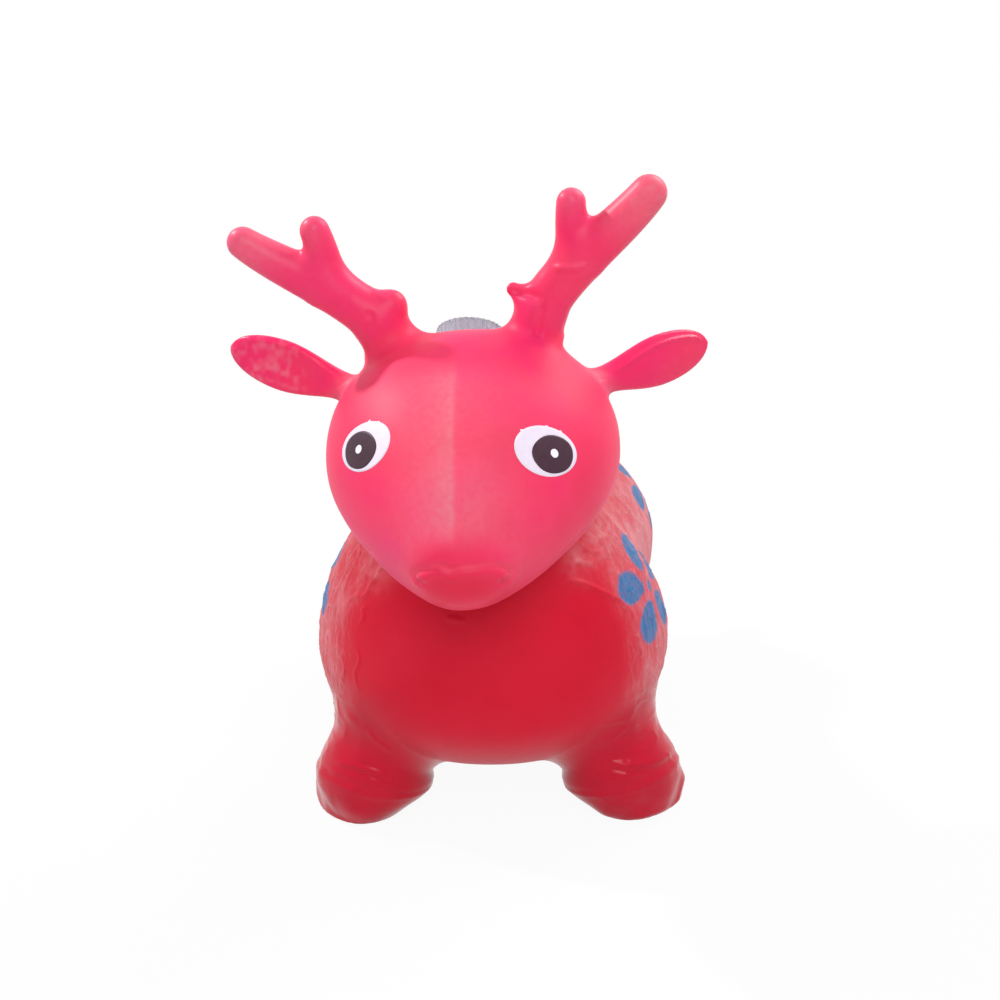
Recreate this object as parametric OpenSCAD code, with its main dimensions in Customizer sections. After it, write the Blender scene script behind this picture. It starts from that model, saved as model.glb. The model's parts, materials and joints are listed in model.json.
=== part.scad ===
// Deer hopper: a hollow blown-up skin with antler handles, a light and sound module
// in the back of the head and a push-in air plug.
// Millimetres, Z up, floor at z = 0, nose towards -Y, the deer's left side towards +X.

/* [Skin] */
// Thickness of the moulded skin
wall = 2; // [1.8:0.1:3]
// Gap kept between a bending root and its seat
root_gap = 0.35; // [0.3:0.05:0.6]

/* [Torso] */
// Width across the chest
chest_w = 276; // [262:1:290]
// Height of the middle of the chest above the floor
chest_z = 128; // [122:1:134]
// Chest above its middle
chest_rise = 112; // [104:1:120]
// Chest below its middle
chest_drop = 97; // [92:1:104]
// Chest ahead of its middle
chest_front = 126; // [116:1:136]
// Width across the rump
rump_w = 254; // [242:1:268]
// Rump above its middle
rump_rise = 110; // [102:1:118]
// Rump below its middle
rump_drop = 104; // [96:1:110]
// Rump behind its middle
rump_back = 122; // [112:1:132]
// Rise of the rump's middle over the chest's middle
rump_lift = 20; // [10:1:28]
// Distance from the middle of the chest to the middle of the rump
chest_to_rump = 218; // [208:1:232]
// How far chest and rump each reach into the waist
waist_reach = 164; // [156:1:176]
// Height of the neck above the middle of the chest
neck_rise = 146; // [138:1:152]

/* [Head] */
// Width across the cheeks
head_w = 206; // [196:1:216]
// Skull above its middle
head_rise = 82; // [77:1:87]
// Jaw below the middle of the skull
jaw_drop = 54; // [50:1:60]
// Skull behind its middle
skull_back = 88; // [80:1:96]
// Skull ahead of its middle
skull_front = 138; // [130:1:144]
// Head ahead of the middle of the chest
head_reach = 83; // [76:1:90]
// Head above the middle of the chest
head_lift = 168; // [162:1:175]
// Slope of the face, nose down
head_pitch = 24; // [20:0.5:28]
// Turn of the face towards the deer's left
head_turn = 2.5; // [0:0.5:4]
// Width of the muzzle
muzzle_w = 92; // [85:1:99]
// Height of the muzzle
muzzle_h = 86; // [80:1:94]
// Middle of the muzzle ahead of the middle of the skull
muzzle_at = 94; // [88:1:100]
// Nose ahead of the middle of the muzzle
nose_front = 54; // [48:1:60]

/* [Legs] */
// Radius of a foot
foot_r = 49; // [45:0.5:52]
// Front feet to the side of the middle
front_out = 110; // [104:1:116]
// Rear feet to the side of the middle
rear_out = 86; // [80:1:94]
// Front feet ahead of the middle of the chest
front_ahead = 26; // [18:1:36]
// Rear feet behind the middle of the rump
rear_behind = 18; // [8:1:28]
// Height of the raised hoof band
band = 1.6; // [0.8:0.1:2.4]

/* [Antlers] */
// Length of an antler from its root to its tip
antler_len = 136; // [129:1:143]
// Radius of an antler near its root
antler_r = 17; // [15.5:0.25:18.5]
// Radius of the deer's left antler's tip
antler_tip_r = 12.5; // [11:0.25:13.5]
// Radius of the deer's right antler's tip
tip_right = 11; // [10:0.25:12]
// Lean of the deer's left antler from upright
lean_left = 39; // [34:1:46]
// Lean of the deer's right antler from upright
lean_right = 51; // [45:1:55]

/* [Ears] */
// Length of an ear from its root to its tip
ear_len = 95; // [89:1:101]
// Width of an ear
ear_w = 37; // [33:1:41]
// Thickness of an ear
ear_t = 13; // [11:0.5:15]
// Lift of an ear from level
ear_lift = 19; // [14:1:22]

/* [Module] */
// Radius of the case that sits in the pocket
case_r = 22.5; // [22.3:0.1:23.5]
// Height of the clear cap
cap_h = 13.5; // [13:0.5:17]
// Number of ribs round the clear cap
ribs = 36; // [24:2:44]
// Lean of the module towards the rider
module_tilt = 33; // [28:1:38]

/* [Valve] */
// Radius of the air hole
valve_r = 4.6; // [4:0.1:5.4]
// Length of the plug's stem
stem_l = 15; // [13:0.5:18]

/* [Hidden] */
$fn = 48;
// Middle of the neck, ahead of the middle of the chest, and its reach to each side
neck_ahead = 44;
neck_back = 132;
// The tail stands out this far behind the rump
tail_out = 10;
// Reach to the front and the rear, which centres the part on the origin
nose_reach = head_reach + (muzzle_at + nose_front - 36) * cos(head_pitch) + 36;
rear_reach = chest_to_rump + rump_back + tail_out;
chest_y = (nose_reach - rear_reach) / 2;
rump_y = chest_y + chest_to_rump;
torso_front = chest_y - chest_front;
torso_rear = rump_y + rump_back;
// The right front foot stands this far ahead of the left one, and this far in
right_step = 14;
right_in = 7;
function front_foot(side) = side > 0
    ? [front_out, chest_y - front_ahead, 0]
    : [right_in - front_out, chest_y - front_ahead - right_step, 0];
// The turned head sits this far to its left
head_shift = 3;
head_mid = [head_shift, chest_y - head_reach, chest_z + head_lift];
head_rear = -skull_back;
head_tip = muzzle_at + nose_front;
// How fast the skull's sides and its top fall away towards the nose
side_fall = 1.8;
top_fall = 1.5;
// Squareness of the torso's outline above and below its middle, where 2 is an ellipse
square_up = 1.86;
square_down = 2.12;
// Radii of the balls that the antlers and ears bend on
antler_ball = antler_r + 4;
ear_ball = 12.5;
// Sweep of the left and the right ear towards the rear, and the left one's droop
ear_sweep_left = 30;
ear_sweep_right = 4;
ear_droop_left = 7;
// Curl of an ear's tip towards the rear
ear_curl = 4;
// Thickness of an antler's wall, which is moulded thicker because it is a handle
antler_wall = 4;
// Rake of the left and the right antler towards the front
rake_left = 10;
rake_right = 12;
// Places on the skull: distance behind its middle and angle round from level
antler_back = 43;
antler_angle = 56;
// The crown of the head is moulded a little to its right: turn of the antlers, shift of the module
crown_turn = 3.5;
crown_shift = -6;
ear_back = 34;
ear_angle = 24;
// Module, measured from the mouth of its pocket
pocket_r = case_r + 0.3;
pocket_wall = 2.4;
pocket_deep = 16.1;
flange_h = 1.8;
flange_r = case_r + 2.3;
spigot_r = case_r - 0.1;
spigot_top = flange_h + 6;
case_wall = 1.4;
case_floor = -pocket_deep + 0.1 + 1.5;
board_r = spigot_r - case_wall - 0.4;
board_t = 1.2;
post_at = board_r - 3.4;
cap_low = flange_h + 0.9;
cap_top = cap_low + cap_h;
cap_r = case_r + 2.5;
lug_low = flange_h + 2.4;
lug_angle = 24;
cap_turn = 40;
cell_r = 5.8;
cell_h = 5.4;
cell_at = 7.2;
tray_top = case_floor + 7;
cell_low = tray_top - 5.7;
cell_top = cell_low + cell_h;
shake_at = -14;
shake_base = 2;
coil_r = 1.4;
coil_wire = 0.2;
coil_l = 7;
coil_turns = 7;
// Valve
collar_r = valve_r + 8;
collar_deep = 9;
plug_gap = 0.2;
plug_head_r = valve_r + 4.6;
plug_head_t = 2.4;

// Two swellings joined into one outline, softer with a lower power
function joined(a, b, n) = pow(pow(a, n) + pow(b, n), 1 / n);

// One swelling, 1 at its middle and 0 at its two ends
function swell(t, before, after) = sqrt(max(0, 1 - pow(t / (t < 0 ? before : after), 2)));

// A smooth step from 0 to 1
function ease(t) = let (k = min(1, max(0, t))) k * k * (3 - 2 * k);

// A point on a rounded outline with its own height above and below the middle
function outline(w, up, down, square_up, square_down, a) =
    let (c = cos(a), s = sin(a), e = 2 / (s < 0 ? square_down : square_up))
    [w * sign(c) * pow(abs(c), e), (s < 0 ? down : up) * sign(s) * pow(abs(s), e)];

// Even steps from 0 to 1 that crowd towards both ends
function crowd(i, n) = (1 - cos(180 * i / n)) / 2;

// A place along a form, drawn in from both of its ends
function drawn_in(t, low, high, in) = low + in + (t - low) * (high - low - 2 * in) / (high - low);

// Torso outline at one place along its length
function torso_mid(y) = chest_z + rump_lift * ease((y - chest_y) / chest_to_rump);
function torso_half(y, chest, rump) = joined(chest * swell(y - chest_y, chest_front, waist_reach),
    rump * swell(y - rump_y, waist_reach, rump_back), 4);
function torso_up(y) = joined(torso_half(y, chest_rise, rump_rise),
    neck_rise * neck_swell(y - chest_y + neck_ahead), 4);
function neck_swell(t) = pow(swell(t, chest_front - neck_ahead, neck_back), t < 0 ? 1 : 3);

// Below zero inside the torso, grown by a little all round
function torso_depth(p, grow) =
    let (w = torso_half(p.y, chest_w / 2, rump_w / 2) + grow)
    let (up = torso_up(p.y) + grow, down = torso_half(p.y, chest_drop, rump_drop) + grow)
    let (h = p.z - torso_mid(p.y), e = h < 0 ? square_down : square_up)
    pow(abs(p.x) / w, e) + pow(abs(h) / (h < 0 ? down : up), e) - 1;

function torso_ring(y, in, sides) =
    let (w = max(0.5, torso_half(y, chest_w / 2, rump_w / 2) - in))
    let (up = max(0.5, torso_up(y) - in), down = max(0.5, torso_half(y, chest_drop, rump_drop) - in))
    [for (j = [0:sides - 1]) let (q = outline(w, up, down, square_up, square_down, 360 * j / sides))
        [q.x, drawn_in(y, torso_front, torso_rear, in), torso_mid(y) + q.y]];

// Head outline at one place along the face, from the back of the skull to the nose
function skull_swell(s, fall) = pow(swell(s, skull_back, skull_front), s < 0 ? 1 : fall);
function head_half(s, skull, muzzle, fall) = joined(skull * skull_swell(s, fall),
    muzzle * pow(swell(s - muzzle_at, muzzle_at, nose_front), s < muzzle_at ? 1 : 0.88), 3);
function head_point(x, s, h) =
    let (y = -s * cos(head_pitch) - h * sin(head_pitch), z = h * cos(head_pitch) - s * sin(head_pitch))
    head_mid + [x * cos(head_turn) - y * sin(head_turn), x * sin(head_turn) + y * cos(head_turn), z];
function head_ring(s, in, sides) =
    let (w = max(0.5, head_half(s, head_w / 2, muzzle_w / 2, side_fall) - in))
    let (up = max(0.5, head_half(s, head_rise, muzzle_h / 2, top_fall) - in))
    let (down = max(0.5, head_half(s, jaw_drop, muzzle_h / 2, top_fall) - in))
    [for (j = [0:sides - 1]) let (q = outline(w, up, down, 2.1, 2.1, 360 * j / sides))
        head_point(q.x, drawn_in(s, head_rear, head_tip, in), q.y)];

// A place on the skull, sunk below the surface
function skull_place(side, back, angle, sink) =
    let (k = swell(-back, skull_back, skull_front))
    head_point(side * (head_w / 2 * k - sink) * cos(angle), -back, (head_rise * k - sink) * sin(angle));
function antler_place(side) = skull_place(side, antler_back, antler_angle + side * crown_turn, -4);
function ear_place(side) = skull_place(side, ear_back, ear_angle, -2);
module_place = skull_place(0, skull_back * 0.94, 90, -1) + [crown_shift, 0, 0];

// A closed solid through a row of rings, with a point at each end
module loft(rings, first, last) {
    n = len(rings);
    m = len(rings[0]);
    points = concat([for (r = rings) each r], [first, last]);
    sides = [for (i = [0:n - 2], j = [0:m - 1], k = [0, 1])
        let (a = i * m + j, b = i * m + (j + 1) % m)
        k == 0 ? [a, a + m, b] : [b, a + m, b + m]];
    ends = [for (j = [0:m - 1], k = [0, 1])
        let (next = (j + 1) % m)
        k == 0 ? [n * m, j, next] : [n * m + 1, (n - 1) * m + next, (n - 1) * m + j]];
    polyhedron(points, concat(sides, ends), convexity = 6);
}

// The whole form of the torso, or the air space in it
module torso_form(in, rings, sides) {
    reach = torso_rear - torso_front;
    loft([for (i = [1:rings - 1]) torso_ring(torso_front + reach * crowd(rings - i, rings), in, sides)],
        [0, torso_rear - in, torso_mid(torso_rear)], [0, torso_front + in, torso_mid(torso_front)]);
}

// The whole form of the head, or the air space in it
module head_form(in, rings, sides) {
    reach = head_tip - head_rear;
    loft([for (i = [1:rings - 1]) head_ring(head_rear + reach * crowd(i, rings), in, sides)],
        head_point(0, head_rear + in, 0), head_point(0, head_tip - in, 0));
}

module torso() {
    color([0.80, 0.12, 0.22]) difference() {
        torso_form(0, 26, 36);
        torso_form(wall, 26, 24);
        // air passages to the head and the legs
        translate([0, chest_y - head_reach * 0.62, chest_z]) cylinder(r = 36, h = 240);
        for (side = [-1, 1]) {
            translate(front_foot(side) + [-20 * side, front_ahead * 0.3, 0])
                cylinder(r = 24, h = chest_z);
            translate([side * (rear_out - 20), rump_y + rear_behind * 0.7, 0])
                cylinder(r = 24, h = chest_z);
        }
        at_valve() translate([0, 0, -collar_deep - 20]) cylinder(r = collar_r, h = collar_deep + 40);
    }
}

module head() {
    color([0.93, 0.25, 0.40]) difference() {
        head_form(0, 24, 32);
        head_form(wall, 20, 22);
        torso_form(0, 26, 36);
        for (side = [-1, 1]) {
            translate(antler_place(side)) sphere(r = antler_ball + root_gap);
            translate(ear_place(side)) sphere(r = ear_ball + root_gap);
        }
        at_module() translate([0, 0, -pocket_deep - 10])
            cylinder(r = pocket_r + pocket_wall, h = pocket_deep + 30);
    }
}

// Leg outline: rounded at the sole, a raised band over the hoof and a flare at the root
function leg_r(f) = foot_r * (0.74 + 0.26 * sin(90 * min(f / 0.45, 1)))
    + band * (exp(-pow((f - 0.39) / 0.03, 2)) - exp(-pow((f - 0.45) / 0.03, 2)))
    - 4 * ease((f - 0.45) / 0.3) + 2 * ease((f - 0.72) / 0.28);
function leg_mid(foot, z) = [foot.x * (1 - 0.0035 * z), foot.y, z];
function leg_spot(foot, r, a, z) = leg_mid(foot, z) + [r * cos(a), 1.06 * r * sin(a), 0];
// Height at which one line up the leg meets the torso
function leg_top(foot, r, a, low, high, n) =
    let (z = (low + high) / 2)
    n == 0 ? low : torso_depth(leg_spot(foot, r, a, z), 0.35) < 0
        ? leg_top(foot, r, a, low, z, n - 1) : leg_top(foot, r, a, z, high, n - 1);
function leg_ring(foot, f, in, tops, low) =
    [for (j = [0:len(tops) - 1])
        leg_spot(foot, leg_r(f) - in, 360 * j / len(tops), low + (tops[j] - low) * f)];

module leg(foot) {
    sides = 20;
    outer = [for (j = [0:sides - 1]) leg_top(foot, leg_r(1), 360 * j / sides, 12, chest_z, 16)];
    inner = [for (j = [0:sides - 1]) leg_top(foot, leg_r(1) - wall, 360 * j / sides, 12, chest_z, 16)];
    up = [0, 0.02, 0.07, 0.15, 0.25, 0.34, 0.39, 0.42, 0.45, 0.5, 0.65, 0.82, 1];
    down = [1, 0.6, 0.25, 0.06];
    color([0.78, 0.16, 0.25]) loft(concat(
        [for (f = up) leg_ring(foot, f, 0, outer, 0)],
        [for (f = down) leg_ring(foot, f, wall, inner, wall)]),
        foot, leg_mid(foot, wall + 1));
}

module leg_front_left() {
    leg(front_foot(1));
}

module leg_front_right() {
    leg(front_foot(-1));
}

module leg_rear_left() {
    leg([rear_out, rump_y + rear_behind, 0]);
}

module leg_rear_right() {
    leg([-rear_out, rump_y + rear_behind, 0]);
}

// Tail: a short drop that stands on the upper rump
tail_slope = 38;
tail_r = 15;
tail_low = [0, torso_rear - 44, torso_mid(torso_rear) + 62];
tail_dir = [0, cos(tail_slope), sin(tail_slope)];
tail_l = (torso_rear + tail_out - tail_low.y) / cos(tail_slope) - 1.5;
function tail_spot(r, a, t) = tail_low + tail_dir * t
    + [r * cos(a), r * sin(a) * sin(tail_slope), -r * sin(a) * cos(tail_slope)];
function tail_seat(r, a, low, high, n) =
    let (t = (low + high) / 2)
    n == 0 ? high : torso_depth(tail_spot(r, a, t), 0.4) < 0
        ? tail_seat(r, a, t, high, n - 1) : tail_seat(r, a, low, t, n - 1);

module tail() {
    sides = 16;
    steps = 8;
    seats = [for (j = [0:sides - 1]) tail_seat(tail_r, 360 * j / sides, -20, 45, 16)];
    mid = tail_seat(0, 0, -20, 45, 16);
    color([0.80, 0.14, 0.24]) loft([for (i = [0:steps - 1])
        let (f = sin(90 * i / steps))
        [for (j = [0:sides - 1])
            tail_spot(tail_r * swell(i / steps, 1, 1) * (1 + 0.3 * sin(180 * f)), 360 * j / sides,
                seats[j] + (tail_l - seats[j]) * f)]],
        tail_low + tail_dir * (mid + 0.3), tail_low + tail_dir * tail_l);
}

// Ear: a leaf with a dished front, on a ball at its root
function ear_half(k) = k < 0.56 ? 10 + (ear_w / 2 - 10) * ease(0.1 + 0.9 * k / 0.56)
    : ear_w / 2 * pow(max(0, 1 - pow((k - 0.56) / 0.44, 2)), 0.62);
function ear_thick(k) = ear_t / 2 * pow(max(0, 1 - k * k), 0.5) + 4 * pow(max(0, 1 - k * 2.5), 2);
function ear_ring(k, sides) =
    let (w = ear_half(k), d = ear_thick(k), dish = 0.9 * d * ease(k * 2.5))
    [for (j = [0:sides - 1]) let (a = 360 * j / sides)
        [k * ear_len, dish * (0.5 - pow(sin(a), 2)) + d * cos(a) + ear_curl * k * k, w * sin(a)]];
function ball_ring(r, a, sides) = [for (j = [0:sides - 1])
    let (b = 360 * j / sides) [-r * cos(a), r * sin(a) * cos(b), r * sin(a) * sin(b)]];

// Drawn level towards +X, then lifted, swept back and set on its side of the head
module ear(side, lift, sweep) {
    sides = 16;
    steps = 11;
    color([0.91, 0.24, 0.40]) translate(ear_place(side)) mirror([side > 0 ? 0 : 1, 0, 0])
        rotate([0, -lift, sweep])
        loft(concat([for (a = [25, 50, 72, 95, 118]) ball_ring(ear_ball, a, sides)],
            [for (i = [2:steps - 1]) ear_ring(sin(90 * i / steps), sides)]),
            [-ear_ball, 0, 0], [ear_len, ear_curl, 0]);
}

module ear_left() {
    ear(1, ear_lift - ear_droop_left, ear_sweep_left);
}

module ear_right() {
    ear(-1, ear_lift, ear_sweep_right);
}

// Antler: a hollow bowed beam with a side branch and a knob, on a ball at its root.
// Drawn upright, outwards towards +X, then leant over.
function bow(t, a, b, c, d) =
    a * pow(1 - t, 3) + b * 3 * t * pow(1 - t, 2) + c * 3 * t * t * (1 - t) + d * pow(t, 3);
beam_end = antler_len - antler_tip_r;
function beam_at(t) =
    bow(t, [0, 0, 0], [-0.17, 0, 0.17] * antler_len, [-0.01, 0, 0.6] * antler_len, [0, 0, beam_end]);
function beam_r(t, tip) = antler_r + (tip - antler_r) * t * t;
function branch_at(t) = bow(t, beam_at(0.5), beam_at(0.5) + [-0.05, 0, 0.06] * antler_len,
    [-0.2, 0, 0.535] * antler_len, [-0.275, 0, 0.645] * antler_len);
function knob_at(t, reach) = beam_at(0.2) + [-reach, 0, -0.01] * antler_len * t;
function tube_ring(p, q, r, sides) =
    let (d = (q - p) / norm(q - p), n = [d.z, 0, -d.x])
    [for (j = [0:sides - 1]) let (a = 360 * j / sides) p + r * (n * cos(a) + [0, 1, 0] * sin(a))];
function tip_rings(p, q, r, sides) =
    let (d = (q - p) / norm(q - p))
    [for (a = [25, 50, 72]) tube_ring(q + d * r * sin(a), q + d * (r * sin(a) + 1), r * cos(a), sides)];

function tip_point(p, q, r) = q + r * (q - p) / norm(q - p);

module beam(tip) {
    sides = 16;
    steps = 9;
    loft(concat([for (a = [20, 42, 64, 90, 116]) [for (j = [0:sides - 1]) let (b = 360 * j / sides)
            antler_ball * [sin(a) * cos(b), sin(a) * sin(b), -cos(a)]]],
        [for (i = [2:steps]) let (t = i / steps)
            tube_ring(beam_at(t), beam_at(t + 0.01), beam_r(t, tip), sides)],
        tip_rings(beam_at(0.99), beam_at(1), tip, sides)),
        [0, 0, -antler_ball], tip_point(beam_at(0.99), beam_at(1), tip));
}

// The air space in the beam, closed at both ends, over a solid root
module beam_hollow(tip) {
    sides = 12;
    steps = 8;
    loft([for (i = [0:steps]) let (t = 0.24 + 0.68 * i / steps)
            tube_ring(beam_at(t), beam_at(t + 0.01), beam_r(t, tip) - antler_wall, sides)],
        beam_at(0.22), beam_at(0.95));
}

module side_branch(end) {
    sides = 14;
    steps = 5;
    root = antler_r * 0.74;
    tip = end * 0.8;
    loft(concat([for (i = [0:steps]) let (t = i / steps)
            tube_ring(branch_at(t), branch_at(t + 0.01), root + (tip - root) * t, sides)],
        tip_rings(branch_at(0.99), branch_at(1), tip, sides)),
        branch_at(0), tip_point(branch_at(0.99), branch_at(1), tip));
}

module knob(reach, end) {
    sides = 12;
    r0 = antler_r * 0.84;
    r1 = antler_r * end;
    from = knob_at(0, reach);
    to = knob_at(1, reach);
    loft(concat([for (t = [0, 0.5, 1])
            tube_ring(knob_at(t, reach), knob_at(t + 0.1, reach), r0 + (r1 - r0) * t, sides)],
        tip_rings(from, to, r1, sides)),
        from, tip_point(from, to, r1));
}

module antler(side, lean, rake, tip, knob_reach, knob_end) {
    color([0.95, 0.27, 0.44]) translate(antler_place(side)) mirror([side > 0 ? 0 : 1, 0, 0])
        rotate([rake, 0, 0]) rotate([0, lean, 0]) difference() {
            union() {
                beam(tip);
                side_branch(antler_tip_r);
                knob(knob_reach, knob_end);
            }
            beam_hollow(tip);
        }
}

module antler_left() {
    antler(1, lean_left, rake_left, antler_tip_r, 0.16, 0.36);
}

module antler_right() {
    antler(-1, lean_right, rake_right, tip_right, 0.125, 0.6);
}

// Everything of the module is drawn upright over the mouth of its pocket
module at_module() {
    translate(module_place) rotate([-module_tilt, 0, 0]) children();
}

// A ring with a square section
module ring(inner, outer, low, high) {
    translate([0, 0, low]) difference() {
        cylinder(r = outer, h = high - low);
        translate([0, 0, -1]) cylinder(r = inner, h = high - low + 2);
    }
}

module module_pocket() {
    color([0.85, 0.18, 0.30]) at_module() difference() {
        translate([0, 0, -pocket_deep - pocket_wall])
            cylinder(r = pocket_r + pocket_wall, h = pocket_deep + pocket_wall);
        translate([0, 0, -pocket_deep]) cylinder(r = pocket_r, h = pocket_deep + 1);
    }
}

module module_case() {
    color([0.92, 0.90, 0.93]) at_module() {
        difference() {
            union() {
                translate([0, 0, case_floor - 1.5]) cylinder(r = case_r, h = -case_floor + 1.5);
                cylinder(r = flange_r, h = flange_h);
                cylinder(r = spigot_r, h = spigot_top);
                // bayonet lugs
                for (a = [0, 180]) rotate([0, 0, a]) translate([0, 0, lug_low])
                    rotate_extrude(angle = lug_angle) translate([spigot_r - 0.5, 0]) square([1.4, 1.6]);
            }
            translate([0, 0, case_floor]) cylinder(r = spigot_r - case_wall, h = 40);
        }
        // screw posts
        for (a = [90:120:330]) rotate([0, 0, a]) translate([post_at, 0, 0])
            ring(1, 2.6, case_floor - 0.6, 0);
    }
}

module seal_ring() {
    color([0.25, 0.25, 0.27]) at_module() ring(spigot_r + 0.1, flange_r - 0.4, flange_h, flange_h + 0.8);
}

module lens_cap() {
    groove_r = spigot_r + 1.2;
    color([0.90, 0.90, 0.95, 0.4]) at_module() difference() {
        translate([0, 0, cap_low]) linear_extrude(cap_h) union() {
            circle(r = cap_r);
            for (i = [0:ribs - 1]) rotate(360 * i / ribs) translate([cap_r - 0.3, 0])
                circle(r = 0.9, $fn = 24);
        }
        translate([0, 0, cap_low - 1]) cylinder(r = spigot_r + 0.3, h = cap_h - 0.8);
        // bayonet grooves with their entries
        for (a = [0, 180]) rotate([0, 0, a - cap_turn - 1]) {
            translate([0, 0, lug_low - 0.25])
                rotate_extrude(angle = lug_angle + cap_turn + 2) translate([spigot_r, 0])
                square([groove_r - spigot_r, 2.1]);
            translate([0, 0, cap_low - 1])
                rotate_extrude(angle = lug_angle + 2) translate([spigot_r, 0])
                square([groove_r - spigot_r, 3]);
        }
    }
}

module circuit_board() {
    color([0.16, 0.42, 0.25]) at_module() difference() {
        cylinder(r = board_r, h = board_t);
        for (a = [90:120:330]) rotate([0, 0, a]) translate([post_at, 0, -1])
            cylinder(r = 1.15, h = 5);
    }
}

module board_screws() {
    color([0.70, 0.70, 0.72]) at_module() for (a = [90:120:330]) rotate([0, 0, a])
        translate([post_at, 0, board_t]) {
        difference() {
            cylinder(r1 = 2, r2 = 1.6, h = 1.3);
            for (b = [0, 90]) rotate([0, 0, b]) translate([-1.1, -0.2, 0.7]) cube([2.2, 0.4, 2]);
        }
        translate([0, 0, -7]) cylinder(r = 0.9, h = 7);
    }
}

module leds() {
    color([0.90, 0.88, 0.85]) at_module() for (a = [45:90:315]) rotate([0, 0, a])
        translate([board_r * 0.6, 0, board_t]) {
            cylinder(r = 2.9, h = 1);
            cylinder(r = 2.5, h = 6);
            translate([0, 0, 6]) sphere(r = 2.5);
        }
}

module buzzer() {
    color([0.12, 0.12, 0.13]) at_module() translate([0, 0, board_t]) difference() {
        cylinder(r = 6, h = 6.5);
        translate([0, 0, 5]) cylinder(r = 1, h = 3);
    }
}

module sound_chip() {
    color([0.08, 0.08, 0.09]) at_module() translate([board_r * 0.72, 0, board_t]) intersection() {
        translate([0, 0, -4]) sphere(r = 5.4);
        cylinder(r = 6, h = 4);
    }
}

module cell_tray() {
    color([0.20, 0.20, 0.22]) at_module() difference() {
        translate([0, 0, case_floor]) cylinder(r = 13.9, h = 7);
        for (a = [30:120:270]) rotate([0, 0, a]) translate([cell_at, 0, cell_low - 0.3])
            cylinder(r = cell_r + 0.1, h = 9);
    }
}

module button_cells() {
    color([0.75, 0.75, 0.77]) at_module() for (a = [30:120:270]) rotate([0, 0, a])
        translate([cell_at, 0, cell_low]) {
        cylinder(r = cell_r, h = cell_h - 0.5);
        cylinder(r = cell_r - 0.9, h = cell_h);
    }
}

module contact_strips() {
    color([0.78, 0.74, 0.62]) at_module() for (a = [30:120:270]) rotate([0, 0, a])
        translate([cell_at, 0, cell_low - 0.3]) cylinder(r = 4.6, h = 0.3);
}

// Three bent leaves from the board down to the cells
module contact_leaves() {
    color([0.82, 0.78, 0.66]) at_module() for (a = [30:120:270]) rotate([0, 0, a])
        translate([cell_at - 3, -1.5, 0]) {
        translate([0, 0, -0.3]) cube([6, 3, 0.3]);
        translate([0, 0, cell_top]) cube([0.3, 3, -cell_top]);
        translate([0, 0, cell_top]) cube([6, 3, 0.3]);
    }
}

module shake_switch_base() {
    color([0.15, 0.25, 0.55]) at_module() translate([shake_at, 0, board_t]) {
        translate([-2.4, -2.4, 0]) cube([4.8, 4.8, shake_base]);
        translate([0, 0, shake_base]) cylinder(r = 0.3, h = coil_l + 1);
    }
}

// A coil that stands round the post without touching it
module shake_spring() {
    sides = 6;
    steps = 8 * coil_turns;
    rise = coil_l - 2 * coil_wire;
    function coil(i) = [coil_r * cos(45 * i), coil_r * sin(45 * i), coil_wire + rise * i / steps];
    color([0.80, 0.80, 0.82]) at_module() translate([shake_at, 0, board_t + shake_base + 0.45])
        loft([for (i = [0:steps]) let (c = [cos(45 * i), sin(45 * i), 0])
            [for (j = [0:sides - 1]) let (a = 360 * j / sides)
                coil(i) + coil_wire * (c * cos(a) - [0, 0, 1] * sin(a))]],
            coil(0), coil(steps));
}

// The valve sits in the middle of the rump's rear, with its axis straight back
module at_valve() {
    translate([0, torso_rear + 0.4, torso_mid(torso_rear)]) rotate([-90, 0, 0]) children();
}

module valve_collar() {
    color([0.80, 0.14, 0.24]) at_valve() ring(valve_r, collar_r, -collar_deep, 0);
}

module valve_plug() {
    stem_r = valve_r - plug_gap;
    color([0.93, 0.92, 0.90]) at_valve() rotate_extrude() polygon([
        [0, -stem_l - 2.4], [stem_r - 1.4, -stem_l - 2.4], [stem_r, -stem_l], [stem_r, 0],
        [plug_head_r, 0], [plug_head_r, plug_head_t - 0.8], [plug_head_r - 0.8, plug_head_t],
        [0, plug_head_t]]);
}

torso();
head();
leg_front_left();
leg_front_right();
leg_rear_left();
leg_rear_right();
tail();
ear_left();
ear_right();
antler_left();
antler_right();
module_pocket();
valve_collar();
valve_plug();
module_case();
seal_ring();
lens_cap();
circuit_board();
board_screws();
leds();
buzzer();
sound_chip();
cell_tray();
button_cells();
contact_strips();
contact_leaves();
shake_switch_base();
shake_spring();
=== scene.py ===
import json
from math import cos, exp, radians, sin

import bpy
import numpy as np
import openvdb
from mathutils import Matrix, Vector
from mathutils.bvhtree import BVHTree

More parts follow.
